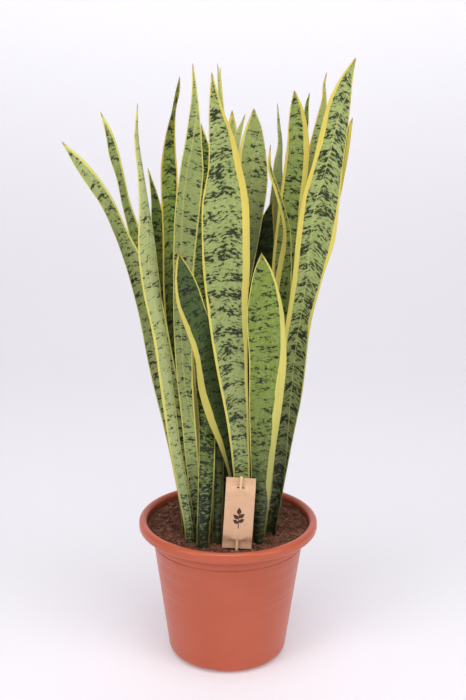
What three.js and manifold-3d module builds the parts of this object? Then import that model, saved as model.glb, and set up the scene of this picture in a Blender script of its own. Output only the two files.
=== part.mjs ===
// A potted snake plant: upright banded leaves with yellow margins, growing from
// rhizomes buried in the soil of a round plastic nursery pot, with a card label
// threaded on a wooden skewer. Millimetres, +Z up. The origin is on the pot's axis,
// on the surface that the pot stands on, and the label faces -Y.

import * as THREE from 'three';
import { mergeVertices } from 'three/addons/utils/BufferGeometryUtils.js';
import Module from 'manifold-3d';

// ---------- driving dimensions ----------

// pot
const potHeight = 170;
const rimRadius = 105;
const rimThickness = 9.4;       // across the rolled rim
const rimHeight = 12.7;
const rimShell = 2.6;           // plastic left around the groove under the rim
const lipRounding = 4.2;        // outside rounding of the rim's lower edge
const rimOverhang = 14.8;       // from the wall's outside to the rim's
const wallTaper = 21.2;         // how much smaller the wall's radius is at the ground
const wallThickness = 2.2;
const collarHeight = 14;        // raised band under the rim
const collarProud = 1.5;
const footRounding = 12;        // outside rounding where the wall turns under
const footWidth = 5;            // ring that the pot stands on
const floorLift = 4;            // the floor's underside above the ground
const floorThickness = 2.4;
const footPadRadius = 15;       // flat pad in the middle of the underside
const drainHoleRadius = 6;
const drainHoleInset = 17;      // from the foot ring to the holes' centres
const drainHoleCount = 6;
const notchWidth = 16;          // water outlets through the foot ring
const notchHeight = 4.6;
const notchCount = 4;
const firstNotchAngle = -17.5;  // degrees from the front

// soil and rhizomes
const soilBelowRim = 7;
const soilEdgeDip = 1.5;
const soilEdgeBand = 20;        // how far in from the rim the soil slopes down
const rhizomeRadius = 9;
const rhizomeWaist = 0.86;      // a knuckle's narrow part over its full radius
const rhizomeBlunt = 0.6;       // how far the ends stand out, over the radius
const rhizomeKnuckles = 4;

// leaves
const spreadRadius = 88;        // the leaves' widths and offsets are listed for this planting radius
const footThickness = 4.4;      // a leaf's thickness where it leaves its rhizome
const bladeThickness = 3;
const tipThickness = 1.2;
const tipWidth = 1.2;
const footSpread = 0.7;         // how far a foot keeps its root's offset from the rhizome
const footCup = 0.4;            // depth of the channel over its width, at the foot
const bladeCup = 0.13;
const bladeStart = 150;         // height above the soil where the channel has opened
const ringSpacing = 38;         // along a blade, between the rings of its skin
const pocketRise = 34;          // how far above the soil the cut for a leaf runs

// label and skewer
const cardWidth = 33;
const cardHeight = 85;
const cardThickness = 0.6;
const cardLean = 3;             // degrees to the right
const cardInFromRim = 27;       // from the rim's outside to the skewer
const cardAside = 9.7;
const slitFromEdge = 11;
const slitHalfWidth = 4;
const bowBefore = 5;            // the card starts to bow this far outside a slit
const bowAfter = 7;             // and is in front of the skewer this far inside it
const skewerRadius = 1.5;
const skewerAboveCard = 2.5;
const skewerInSoil = 50;

// clearance between pieces that touch
const fitGap = 0.3;

// ---------- what follows from them ----------

const soilLevel = potHeight - soilBelowRim;
const wallTopRadius = rimRadius - rimOverhang;
const wallFootRadius = wallTopRadius - wallTaper;
const rimInnerRadius = rimRadius - rimThickness;
const shoulderTop = potHeight - rimHeight;
const shoulderDrop = rimInnerRadius - wallTopRadius + wallThickness;
const floorTop = floorLift + floorThickness;
const plantingRadius = wallTopRadius - wallThickness;
const plantScale = plantingRadius / spreadRadius;

const wasm = await Module();
wasm.setup();

const radians = THREE.MathUtils.degToRad;

function wallOuterRadius(z) {
  return wallFootRadius + ((wallTopRadius - wallFootRadius) * z) / shoulderTop;
}

function wallInnerRadius(z) {
  return wallOuterRadius(z) - wallThickness;
}

const innerRounding = footRounding - wallThickness;
const innerCornerTop = floorTop + innerRounding;
const innerCornerRadius = wallInnerRadius(innerCornerTop) - innerRounding;

// ---------- solids ----------

function solidFrom(geometry) {
  const bare = geometry.clone();
  bare.deleteAttribute('normal');
  bare.deleteAttribute('uv');
  const merged = mergeVertices(bare, 1e-4);
  const mesh = new wasm.Mesh({
    numProp: 3,
    vertProperties: new Float32Array(merged.attributes.position.array),
    triVerts: new Uint32Array(merged.index.array),
  });
  return new wasm.Manifold(mesh);
}

function geometryFrom(solid) {
  const mesh = solid.getMesh();
  const geometry = new THREE.BufferGeometry();
  geometry.setAttribute('position', new THREE.BufferAttribute(new Float32Array(mesh.vertProperties), 3));
  geometry.setIndex(new THREE.BufferAttribute(new Uint32Array(mesh.triVerts), 1));
  geometry.computeVertexNormals();
  return geometry;
}

function largestBody(solid) {
  const bodies = solid.decompose();
  bodies.sort((a, b) => b.volume() - a.volume());
  return bodies[0];
}

// A lathe about Z from [radius, z] points.
function turned(points, segments) {
  const profile = points.map(([radius, z]) => new THREE.Vector2(radius, z));
  const geometry = new THREE.LatheGeometry(profile, segments);
  geometry.rotateX(Math.PI / 2);
  return geometry;
}

// Points of a circular arc in the [radius, z] plane, ends included, in degrees.
function arc(centreRadius, centreZ, radius, from, to, steps) {
  const points = [];
  for (let i = 0; i <= steps; i += 1) {
    const angle = radians(from + ((to - from) * i) / steps);
    points.push([centreRadius + radius * Math.cos(angle), centreZ + radius * Math.sin(angle)]);
  }
  return points;
}

// ---------- pot ----------

function potBody() {
  const roll = rimThickness / 2;
  const footOuter = wallOuterRadius(footRounding);
  const footCentre = footOuter - footRounding;
  const footInner = footCentre - footWidth;
  const collarBottom = shoulderTop - collarHeight;
  const grooveOuter = rimRadius - rimShell;
  const grooveInner = rimInnerRadius + rimShell;
  const grooveTop = potHeight - rimShell - roll / 2;
  const outline = [
    [0, floorTop],
    ...arc(innerCornerRadius, innerCornerTop, innerRounding, -90, 0, 3),
    [plantingRadius, shoulderTop - shoulderDrop],
    [rimInnerRadius, shoulderTop],
    ...arc(rimRadius - roll, potHeight - roll, roll, 180, 0, 6),
    ...arc(rimRadius - lipRounding, shoulderTop + lipRounding, lipRounding, 0, -60, 3),
    [grooveOuter, shoulderTop],
    [grooveOuter, grooveTop],
    [grooveInner, grooveTop],
    [grooveInner, shoulderTop],
    [wallTopRadius + collarProud, shoulderTop],
    [wallOuterRadius(collarBottom) + collarProud, collarBottom],
    [wallOuterRadius(collarBottom - collarProud), collarBottom - collarProud],
    ...arc(footCentre, footRounding, footRounding, 0, -90, 3),
    [footInner, 0],
    [footInner - floorLift / 2, floorLift],
    [footPadRadius + floorLift / 2, floorLift],
    [footPadRadius, 0],
    [0, 0],
  ];
  return turned(outline.reverse(), 40);
}

function pot() {
  let solid = solidFrom(potBody());
  const footOuter = wallOuterRadius(footRounding);
  const holeCircle = footOuter - footRounding - footWidth - drainHoleInset;
  for (let i = 0; i < drainHoleCount; i += 1) {
    const angle = radians((360 * i) / drainHoleCount);
    const drill = new THREE.CylinderGeometry(drainHoleRadius, drainHoleRadius, 2 * floorTop, 12);
    drill.rotateX(Math.PI / 2);
    drill.translate(holeCircle * Math.cos(angle), holeCircle * Math.sin(angle), floorTop);
    solid = solid.subtract(solidFrom(drill));
  }
  for (let i = 0; i < notchCount; i += 1) {
    const reach = 2 * (footRounding + footWidth + floorLift);
    const cutter = new THREE.BoxGeometry(notchWidth, reach, 2 * notchHeight);
    cutter.translate(0, -footOuter, 0);
    cutter.rotateZ(radians(firstNotchAngle + (360 * i) / notchCount));
    solid = solid.subtract(solidFrom(cutter));
  }
  return geometryFrom(solid);
}

// ---------- rhizomes ----------

// Each runs between two places given as shares of the planting radius, at a depth.
const rhizomes = {
  left: { from: [-0.55, 0.07], to: [-0.51, -0.32], depth: 30 },
  front: { from: [-0.50, -0.57], to: [-0.11, -0.73], depth: 52 },
  centre: { from: [0.19, -0.61], to: [0.07, -0.05], depth: 44 },
  right: { from: [0.41, -0.68], to: [0.57, -0.09], depth: 28 },
  back: { from: [0.09, 0.30], to: [0.48, 0.16], depth: 62 },
};

function placeInPot([shareX, shareY], z) {
  return new THREE.Vector3(shareX * plantingRadius, shareY * plantingRadius, z);
}

function rhizomeBody({ from, to, depth }, grow) {
  const start = placeInPot(from, soilLevel - depth);
  const end = placeInPot(to, soilLevel - depth);
  const length = start.distanceTo(end);
  const radius = rhizomeRadius + grow;
  const outline = [[0, -rhizomeBlunt * radius]];
  for (let i = 0; i <= rhizomeKnuckles; i += 1) {
    const swell = i % 2 === 0 ? rhizomeWaist : 1;
    outline.push([radius * swell, (length * i) / rhizomeKnuckles]);
  }
  outline.push([0, length + rhizomeBlunt * radius]);
  const body = turned(outline, 12);
  const along = end.sub(start).normalize();
  body.applyQuaternion(new THREE.Quaternion().setFromUnitVectors(new THREE.Vector3(0, 0, 1), along));
  body.translate(start.x, start.y, start.z);
  return body;
}

// ---------- leaves ----------

// Every leaf has its root, as shares of the planting radius, and stations from the
// soil to the tip: [aside, forward (+Y is back), height above the soil, width, facing].
// Aside and forward are measured from the root. Facing is the direction that the
// hollow side of the channel looks, in degrees: 0 to the front, 90 to the right.
const leaves = {
  left_outer: {
    rhizome: 'left', root: [-0.58, -0.26],
    stations: [[0, 0, 0, 13, 45], [-5, -5, 65, 18, 36], [-13, -11, 140, 26, 26], [-26, -17, 211, 30, 22],
      [-39, -22, 281, 28, 26], [-54, -27, 324, 23, 42], [-67, -31, 356, 20, 54], [-81, -35, 390, 18, 50],
      [-104, -39, 426, 14, 42], [-124, -43, 454, 0, 40]],
  },
  left_back: {
    rhizome: 'left', root: [-0.53, -0.06],
    stations: [[0, 0, 0, 12, 20], [-11, 1, 95, 17, 15], [-26, 2, 179, 24, 12], [-40, 2, 260, 24, 16],
      [-53, 3, 319, 18, 32], [-62, 5, 352, 16, 46], [-71, 6, 384, 14, 58], [-75, 6, 406, 13, 54],
      [-81, 8, 430, 13, 36], [-86, 9, 453, 9, 30], [-95, 10, 478, 0, 30]],
  },
  left_front: {
    rhizome: 'front', root: [-0.47, -0.65],
    stations: [[0, 0, 0, 13, 190], [-18, -11, 127, 15, 215], [-33, -23, 257, 18, 218],
      [-40, -25, 303, 22, 216], [-43, -27, 333, 22, 218], [-45, -27, 363, 19, 220],
      [-47, -27, 392, 14, 228], [-50, -25, 420, 9, 225], [-55, -21, 462, 5, 215],
      [-54, -17, 494, 0, 210]],
  },
  left_hidden: {
    rhizome: 'left', root: [-0.53, 0.07],
    stations: [[0, 0, 0, 12, 0], [-10, 4, 100, 18, 0], [-21, 10, 207, 24, 5], [-29, 17, 311, 23, 8],
      [-35, 21, 350, 17, 15], [-39, 23, 382, 9, 20], [-46, 24, 414, 0, 20]],
  },
  left_tall: {
    rhizome: 'left', root: [-0.38, -0.20],
    stations: [[0, 0, 0, 11, 0], [-7, 5, 60, 21, 0], [-12, 8, 102, 27, 0], [-19, 8, 197, 30, 0],
      [-28, 3, 278, 24, 0], [-32, -1, 364, 18, 0], [-33, -1, 411, 18, 0], [-33, -2, 442, 14, 20],
      [-31, -3, 466, 11, 45], [-28, -4, 484, 9, 64], [-24, -5, 502, 7, 50], [-21, -6, 518, 0, 45]],
  },
  front_left: {
    rhizome: 'front', root: [-0.39, -0.50],
    stations: [[0, 0, 0, 11, -5], [-8, -2, 114, 15, -8], [-14, -4, 191, 18, -8], [-16, -6, 260, 21, -5],
      [-15, -8, 327, 23, 0], [-11, -8, 386, 26, 4], [-7, -6, 421, 25, 4], [-5, -4, 452, 18, 0],
      [-4, -2, 480, 11, 0], [-4, 0, 503, 6, 0], [-6, 2, 533, 0, 0]],
  },
  front_middle: {
    rhizome: 'front', root: [-0.32, -0.79],
    stations: [[0, 0, 0, 15, 180], [3, 3, 68, 18, 180], [4, 21, 133, 19, 180], [2, 36, 199, 26, 180],
      [1, 46, 276, 28, 180], [1, 52, 353, 20, 180], [1, 54, 408, 13, 180], [1, 54, 438, 10, 180],
      [-4, 54, 468, 0, 180]],
  },
  front_right: {
    rhizome: 'front', root: [-0.13, -0.69],
    stations: [[0, 0, 0, 11, 195], [0, 8, 58, 12, 192], [1, 20, 112, 14, 186], [5, 35, 167, 18, 180],
      [11, 48, 239, 25, 176], [21, 58, 315, 34, 176], [29, 62, 365, 37, 180], [35, 64, 405, 34, 180],
      [35, 66, 438, 28, 180], [36, 68, 461, 18, 180], [36, 68, 483, 0, 180]],
  },
  centre_broad: {
    rhizome: 'centre', root: [0.19, -0.59],
    stations: [[0, 0, 0, 15, 0], [-3, -6, 92, 19, 8], [-7, -9, 143, 24, 14], [-14, -16, 209, 34, 10],
      [-19, -20, 277, 42, 2], [-21, -20, 334, 51, 0], [-22, -19, 385, 49, 0], [-23, -17, 431, 34, 0],
      [-27, -16, 461, 26, -4], [-32, -14, 485, 16, -6], [-37, -11, 525, 0, 0]],
  },
  centre_curled: {
    rhizome: 'centre', root: [0.16, -0.43],
    stations: [[0, 0, 0, 14, 15], [-9, -8, 90, 18, 20], [-17, -14, 122, 23, 26], [-26, -18, 153, 32, 32],
      [-34, -23, 190, 36, 30], [-39, -29, 230, 32, 26], [-48, -35, 258, 29, 22], [-57, -44, 287, 29, 20],
      [-62, -50, 313, 22, 15], [-68, -58, 345, 0, 10]],
  },
  centre_narrow: {
    rhizome: 'centre', root: [0.12, -0.07],
    stations: [[0, 0, 0, 11, 10], [-3, 16, 124, 15, 5], [-8, 26, 230, 17, 0], [-11, 32, 322, 16, 0],
      [-11, 36, 379, 14, -10], [-8, 38, 418, 12, -20], [-3, 40, 447, 9, -30], [5, 40, 474, 0, -30]],
  },
  right_short: {
    rhizome: 'right', root: [0.40, -0.68],
    stations: [[0, 0, 0, 14, 190], [2, -6, 68, 22, 185], [3, -14, 131, 30, 180], [5, -20, 180, 37, 180],
      [6, -26, 226, 41, 180], [3, -32, 266, 40, 180], [1, -36, 300, 31, 180], [-1, -39, 325, 19, 180],
      [-3, -42, 346, 0, 180]],
  },
  right_slender: {
    rhizome: 'right', root: [0.40, -0.45],
    stations: [[0, 0, 0, 11, -15], [8, 12, 116, 16, -10], [16, 16, 197, 20, -10], [21, 16, 265, 21, -5],
      [24, 18, 319, 17, 25], [25, 20, 354, 13, 50], [20, 20, 377, 11, 58], [13, 20, 400, 9, 58],
      [6, 20, 422, 7, 52], [7, 20, 447, 0, 50]],
  },
  right_tall: {
    rhizome: 'right', root: [0.57, -0.36],
    stations: [[0, 0, 0, 13, -20], [6, -4, 56, 15, -16], [12, -7, 118, 21, -14], [19, -8, 183, 28, -14],
      [25, -8, 249, 28, -14], [35, -8, 308, 33, -15], [43, -8, 356, 41, -10], [47, -6, 391, 40, -10],
      [53, -4, 427, 33, -10], [58, -1, 458, 29, -10], [64, 2, 492, 23, -10], [71, 5, 517, 13, -10],
      [80, 8, 539, 0, -10]],
  },
  right_inner: {
    rhizome: 'right', root: [0.41, -0.22],
    stations: [[0, 0, 0, 12, 5], [7, 11, 108, 17, 5], [15, 18, 184, 22, 5], [22, 23, 259, 27, 5],
      [26, 26, 322, 29, 5], [30, 28, 372, 28, 5], [35, 30, 417, 27, 5], [37, 31, 445, 24, 5],
      [36, 32, 469, 19, 0], [34, 33, 488, 11, 0], [32, 34, 502, 0, 0]],
  },
  right_outer: {
    rhizome: 'right', root: [0.61, -0.19],
    stations: [[0, 0, 0, 12, -40], [10, 5, 108, 16, -30], [16, 7, 180, 18, -20], [25, 9, 238, 19, -15],
      [34, 11, 290, 19, -10], [47, 13, 343, 20, -10], [56, 15, 385, 20, -10], [63, 17, 420, 18, -10],
      [69, 19, 443, 13, -10], [78, 21, 474, 0, -10]],
  },
  right_curly: {
    rhizome: 'right', root: [0.56, -0.05],
    stations: [[0, 0, 0, 11, 0], [12, 10, 126, 15, 0], [20, 16, 221, 19, 0], [29, 20, 314, 21, 0],
      [35, 22, 376, 20, 0], [41, 24, 420, 18, 0], [46, 24, 450, 14, 0], [50, 24, 475, 10, 0],
      [52, 24, 494, 5, 0], [51.5, 24, 508, 3, 0], [54, 24, 521, 0, 0]],
  },
  back_middle: {
    rhizome: 'back', root: [0.01, 0.20],
    stations: [[0, 0, 0, 12, 0], [-5, 12, 130, 17, 0], [-5, 24, 248, 20, 0], [-4, 32, 341, 21, 0],
      [-2, 36, 398, 18, 0], [0, 38, 434, 15, 0], [0, 39, 458, 10, 0], [0, 40, 476, 0, 0]],
  },
  back_shaded: {
    rhizome: 'back', root: [0.17, 0.11],
    stations: [[0, 0, 0, 12, 0], [9, 2, 70, 18, 0], [15, 6, 152, 26, 0], [18, 10, 244, 34, 0],
      [20, 12, 306, 30, 0], [25, 14, 350, 19, 5], [32, 15, 381, 0, 10]],
  },
  back_left: {
    rhizome: 'back', root: [0.15, 0.33],
    stations: [[0, 0, 0, 12, 0], [-3, 9, 138, 14, -5], [-9, 20, 257, 15, -8], [-16, 30, 361, 13, -12],
      [-21, 38, 429, 10, -16], [-24, 42, 474, 7, -18], [-27, 45, 503, 4, -20], [-29, 47, 526, 0, -20]],
  },
  back_outer: {
    rhizome: 'back', root: [0.28, 0.34],
    stations: [[0, 0, 0, 11, 10], [-4, 20, 138, 13, 0], [-13, 40, 255, 14, -10], [-23, 56, 358, 12, -20],
      [-31, 68, 427, 9, -25], [-35, 75, 470, 6, -25], [-37, 79, 496, 4, -20], [-38, 82, 520, 0, -20]],
  },
  back_grey: {
    rhizome: 'back', root: [0.35, 0.16],
    stations: [[0, 0, 0, 11, 170], [6, 12, 144, 15, 170], [13, 22, 262, 17, 170], [19, 30, 348, 16, 175],
      [22, 34, 393, 13, 180], [23, 38, 418, 10, 190], [25, 42, 438, 6, 200], [23, 44, 460, 4, 200],
      [21, 46, 484, 0, 200]],
  },
  back_right: {
    rhizome: 'back', root: [0.49, 0.18],
    stations: [[0, 0, 0, 11, 10], [11, 8, 120, 13, 15], [20, 16, 215, 15, 20], [28, 22, 309, 15, 25],
      [33, 26, 377, 12, 25], [37, 30, 433, 9, 25], [40, 32, 464, 7, 25], [41, 33, 483, 5, 25],
      [44, 34, 497, 0, 25]],
  },
};

// Smooth values between stations: a cubic through them whose slopes are weighted by
// the spacing, and are flat at a turning point where `level` is asked for.
function smoothThrough(places, values, level) {
  const last = places.length - 1;
  const rise = [];
  for (let i = 0; i < last; i += 1) {
    rise.push((values[i + 1] - values[i]) / (places[i + 1] - places[i]));
  }
  const slopes = values.map((value, i) => {
    if (i === 0) return rise[0];
    if (i === last) return rise[last - 1];
    if (level && rise[i - 1] * rise[i] <= 0) return 0;
    const before = places[i] - places[i - 1];
    const after = places[i + 1] - places[i];
    const mean = (rise[i - 1] * after + rise[i] * before) / (before + after);
    if (!level) return mean;
    const limit = 2 * Math.min(Math.abs(rise[i - 1]), Math.abs(rise[i]));
    return Math.sign(mean) * Math.min(Math.abs(mean), limit);
  });
  return (place) => {
    let i = 0;
    while (i < last - 1 && place > places[i + 1]) i += 1;
    const span = places[i + 1] - places[i];
    const t = (place - places[i]) / span;
    const a = values[i];
    const b = values[i + 1];
    const p = slopes[i] * span;
    const q = slopes[i + 1] * span;
    return a + p * t + (3 * (b - a) - 2 * p - q) * t * t + (p + q - 2 * (b - a)) * t * t * t;
  };
}

// The point on a rhizome's axis nearest to a place, in plan.
function nearestOnRhizome({ from, to, depth }, place) {
  const start = placeInPot(from, soilLevel - depth);
  const end = placeInPot(to, soilLevel - depth);
  const run = end.clone().sub(start);
  const reach = place.clone().setZ(start.z).sub(start);
  const share = THREE.MathUtils.clamp(reach.dot(run) / run.lengthSq(), 0, 1);
  return start.addScaledVector(run, share);
}

function leafCurves({ rhizome, root, stations }) {
  const rootPoint = placeInPot(root, soilLevel);
  const points = stations.map(([aside, forward, height]) => {
    const offset = new THREE.Vector3(aside, forward, 0).multiplyScalar(plantScale);
    return offset.add(rootPoint).setZ(soilLevel + height);
  });
  const widths = stations.map((station) => Math.max(station[3] * plantScale, tipWidth));
  const facings = stations.map((station) => radians(station[4]));
  const foot = nearestOnRhizome(rhizomes[rhizome], rootPoint);
  foot.lerp(new THREE.Vector3(rootPoint.x, rootPoint.y, foot.z), footSpread);
  points.unshift(foot);
  widths.unshift(0.9 * widths[0]);
  facings.unshift(facings[0]);
  const places = [0];
  for (let i = 1; i < points.length; i += 1) {
    places.push(places[i - 1] + points[i].distanceTo(points[i - 1]));
  }
  const x = smoothThrough(places, points.map((point) => point.x), false);
  const y = smoothThrough(places, points.map((point) => point.y), false);
  const z = smoothThrough(places, points.map((point) => point.z), false);
  return {
    length: places[places.length - 1],
    soilPlace: places[1],
    at: (place) => new THREE.Vector3(x(place), y(place), z(place)),
    width: smoothThrough(places, widths, true),
    facing: smoothThrough(places, facings, true),
  };
}

// The outline of a leaf's section at one place: a shallow channel, thick in the
// middle and sharp at the margins. `grow` makes it larger all round, and more so at
// the sharp margins and across the flats, so that the gap is never less than `grow`.
const faceGrowth = 1.5;
const marginGrowth = 5;

function leafSection(curves, place, grow) {
  const step = 1;
  const ahead = curves.at(place + step);
  const behind = curves.at(place - step);
  const along = ahead.sub(behind).normalize();
  const facing = curves.facing(place);
  const toward = new THREE.Vector3(Math.sin(facing), -Math.cos(facing), 0);
  const across = new THREE.Vector3().crossVectors(along, toward).normalize();
  const hollow = new THREE.Vector3().crossVectors(across, along).normalize();
  const above = place - curves.soilPlace;
  const opening = THREE.MathUtils.smoothstep(above, 0, bladeStart);
  const narrowing = THREE.MathUtils.smoothstep(place / curves.length, 0.7, 1);
  const cup = THREE.MathUtils.lerp(footCup, bladeCup, opening);
  const blade = THREE.MathUtils.lerp(footThickness, bladeThickness, opening);
  const half = THREE.MathUtils.lerp(blade, tipThickness, narrowing) / 2;
  const width = curves.width(place);
  const centre = curves.at(place);
  const facePoint = (share, side) => {
    const reach = (share * width) / 2;
    const sag = cup * width * share * share;
    const swell = (half * (1 - share * share) + faceGrowth * grow) * side;
    return centre.clone().addScaledVector(across, reach).addScaledVector(hollow, sag + swell);
  };
  const marginPoint = (side) => {
    const outward = across.clone().multiplyScalar(side).addScaledVector(hollow, 3 * cup).normalize();
    return facePoint(side, 0).addScaledVector(outward, marginGrowth * grow);
  };
  return [
    marginPoint(-1), facePoint(-0.55, 1), facePoint(0, 1), facePoint(0.55, 1),
    marginPoint(1), facePoint(0.55, -1), facePoint(0, -1), facePoint(-0.55, -1),
  ];
}

// A closed skin over rings of points. Each ring runs along one face and back along the
// other, and a strip between the two faces closes each end.
function skinOver(rings) {
  const count = rings[0].length;
  const positions = rings.flat().flatMap((point) => point.toArray());
  const index = [];
  for (let r = 0; r < rings.length - 1; r += 1) {
    for (let i = 0; i < count; i += 1) {
      const a = r * count + i;
      const b = r * count + ((i + 1) % count);
      index.push(a, b, a + count, b, b + count, a + count);
    }
  }
  const top = (rings.length - 1) * count;
  for (let i = 0; i < count / 2; i += 1) {
    const [a, b, c, d] = [i, i + 1, count - i - 1, (count - i) % count];
    if (b !== c) index.push(a, c, b, top + a, top + b, top + c);
    if (a !== d) index.push(a, d, c, top + a, top + c, top + d);
  }
  const geometry = new THREE.BufferGeometry();
  geometry.setAttribute('position', new THREE.Float32BufferAttribute(positions, 3));
  geometry.setIndex(index);
  return geometry;
}

function leafBody(leaf, grow, upTo) {
  const curves = leafCurves(leaf);
  const end = Math.min(curves.length, curves.soilPlace + upTo);
  const rings = [leafSection(curves, -grow, grow), leafSection(curves, curves.soilPlace * 0.6, grow)];
  const count = Math.max(2, Math.round((end - curves.soilPlace) / ringSpacing));
  for (let i = 0; i <= count; i += 1) {
    const place = curves.soilPlace + ((end - curves.soilPlace) * i) / count;
    rings.push(leafSection(curves, place, grow));
  }
  return skinOver(rings);
}

// ---------- label and skewer ----------

const cardAboveSoil = fitGap + cardThickness + (cardWidth / 2) * Math.sin(radians(cardLean));
const skewerFoot = new THREE.Vector3(cardAside, cardInFromRim - rimRadius, soilLevel);

// Both lean to the right about the point where the skewer enters the soil.
function lean(geometry) {
  geometry.rotateY(radians(cardLean));
  geometry.translate(skewerFoot.x, skewerFoot.y, skewerFoot.z);
  return geometry;
}

function skewerBody(grow) {
  const top = cardAboveSoil + cardHeight + skewerAboveCard;
  const radius = skewerRadius + grow;
  const stick = new THREE.CylinderGeometry(radius, radius, top + skewerInSoil + 2 * grow, 8);
  stick.rotateX(Math.PI / 2);
  stick.translate(0, 0, (top - skewerInSoil) / 2);
  return lean(stick);
}

// The card passes behind the skewer at its top and bottom edges and in front of it
// between the slits, so it bows forward a little.
function cardBody() {
  const away = skewerRadius + fitGap + cardThickness / 2;
  const rows = 10;
  const rings = [];
  for (let i = 0; i <= rows; i += 1) {
    const height = (cardHeight * i) / rows;
    const fromEdge = Math.min(height, cardHeight - height);
    const crossing = THREE.MathUtils.smoothstep(fromEdge, slitFromEdge - bowBefore, slitFromEdge + bowAfter);
    const y = THREE.MathUtils.lerp(away, -away, crossing);
    const z = cardAboveSoil + height;
    rings.push([
      new THREE.Vector3(-cardWidth / 2, y - cardThickness / 2, z),
      new THREE.Vector3(cardWidth / 2, y - cardThickness / 2, z),
      new THREE.Vector3(cardWidth / 2, y + cardThickness / 2, z),
      new THREE.Vector3(-cardWidth / 2, y + cardThickness / 2, z),
    ]);
  }
  return lean(skinOver(rings));
}

function slitBody(height) {
  const slot = new THREE.BoxGeometry(2 * slitHalfWidth, 2 * skewerRadius, 2 * slitHalfWidth);
  slot.translate(0, 0, cardAboveSoil + height);
  return lean(slot);
}

function card() {
  const sheet = solidFrom(cardBody());
  const cut = solidFrom(skewerBody(fitGap))
    .add(solidFrom(slitBody(slitFromEdge)))
    .add(solidFrom(slitBody(cardHeight - slitFromEdge)));
  return geometryFrom(sheet.subtract(cut));
}

// ---------- soil ----------

function soilBody() {
  const mouth = rimInnerRadius - fitGap;
  const edgeLevel = soilLevel - soilEdgeDip;
  const outline = [
    [0, floorTop + fitGap],
    ...arc(innerCornerRadius, innerCornerTop, innerRounding - fitGap, -90, 0, 3),
    [plantingRadius - fitGap, shoulderTop - shoulderDrop],
    [mouth, shoulderTop + fitGap],
    [mouth, edgeLevel],
    [mouth - soilEdgeBand, soilLevel],
    [0, soilLevel],
  ];
  return turned(outline, 36);
}

function soil() {
  let solid = solidFrom(soilBody());
  for (const rhizome of Object.values(rhizomes)) {
    solid = solid.subtract(solidFrom(rhizomeBody(rhizome, fitGap)));
  }
  for (const leaf of Object.values(leaves)) {
    solid = solid.subtract(solidFrom(leafBody(leaf, fitGap, pocketRise)));
  }
  solid = solid.subtract(solidFrom(skewerBody(fitGap)));
  return geometryFrom(largestBody(solid));
}

// ---------- the plant, put together ----------

const finishes = {
  plastic: { color: 0xc86a50, roughness: 0.45, metalness: 0 },
  soil: { color: 0x5f3c37, roughness: 0.95, metalness: 0 },
  rhizome: { color: 0xc98a4a, roughness: 0.7, metalness: 0 },
  leaf: { color: 0x6f8f52, roughness: 0.45, metalness: 0 },
  kraft: { color: 0xd7aa87, roughness: 0.85, metalness: 0 },
  wood: { color: 0xf0d7a5, roughness: 0.7, metalness: 0 },
};

const plant = new THREE.Group();
plant.name = 'potted_snake_plant';

function place(name, geometry, finish) {
  const mesh = new THREE.Mesh(geometry, new THREE.MeshStandardMaterial(finish));
  mesh.name = name;
  plant.add(mesh);
}

place('pot', pot(), finishes.plastic);
place('potting_soil', soil(), finishes.soil);
for (const [name, rhizome] of Object.entries(rhizomes)) {
  place(`rhizome_${name}`, rhizomeBody(rhizome, 0), finishes.rhizome);
}
for (const [name, leaf] of Object.entries(leaves)) {
  const seat = solidFrom(rhizomeBody(rhizomes[leaf.rhizome], fitGap));
  const blade = solidFrom(leafBody(leaf, 0, Infinity)).subtract(seat);
  place(`leaf_${name}`, geometryFrom(largestBody(blade)), finishes.leaf);
}
place('label_card', card(), finishes.kraft);
place('label_skewer', skewerBody(0), finishes.wood);

export default plant;
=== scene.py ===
# A potted snake plant. Twenty-three stiff upright leaves with dark cross bands and
# yellow margins stand in a moulded plastic nursery pot filled with coir soil, and a
# card label hangs on a wooden skewer. The sections follow the order of potting up.

import math

import bmesh
import bpy
import numpy as np
from mathutils import Matrix, Vector, noise


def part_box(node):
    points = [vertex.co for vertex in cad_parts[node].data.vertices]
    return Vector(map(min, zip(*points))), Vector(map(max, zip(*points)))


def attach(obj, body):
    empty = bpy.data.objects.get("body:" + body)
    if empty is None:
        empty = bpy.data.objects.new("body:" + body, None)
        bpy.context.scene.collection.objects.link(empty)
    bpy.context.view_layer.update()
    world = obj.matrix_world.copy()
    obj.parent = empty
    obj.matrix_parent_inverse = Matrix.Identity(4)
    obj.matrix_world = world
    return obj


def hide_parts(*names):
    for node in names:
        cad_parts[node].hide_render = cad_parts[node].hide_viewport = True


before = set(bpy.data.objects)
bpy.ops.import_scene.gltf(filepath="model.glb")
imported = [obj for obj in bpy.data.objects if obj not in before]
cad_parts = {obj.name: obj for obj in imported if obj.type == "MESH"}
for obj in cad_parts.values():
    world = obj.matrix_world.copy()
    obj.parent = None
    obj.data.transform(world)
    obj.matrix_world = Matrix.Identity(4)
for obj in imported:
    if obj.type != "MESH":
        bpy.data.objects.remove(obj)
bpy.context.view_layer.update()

# ---------- the nursery pot ----------
# A round pot injection moulded in terracotta-coloured polypropylene. Its rim is rolled
# over and hollow underneath, and a raised collar runs below it. Drain holes and
# outlets through the foot ring let the water out.

MM = 0.001

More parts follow.
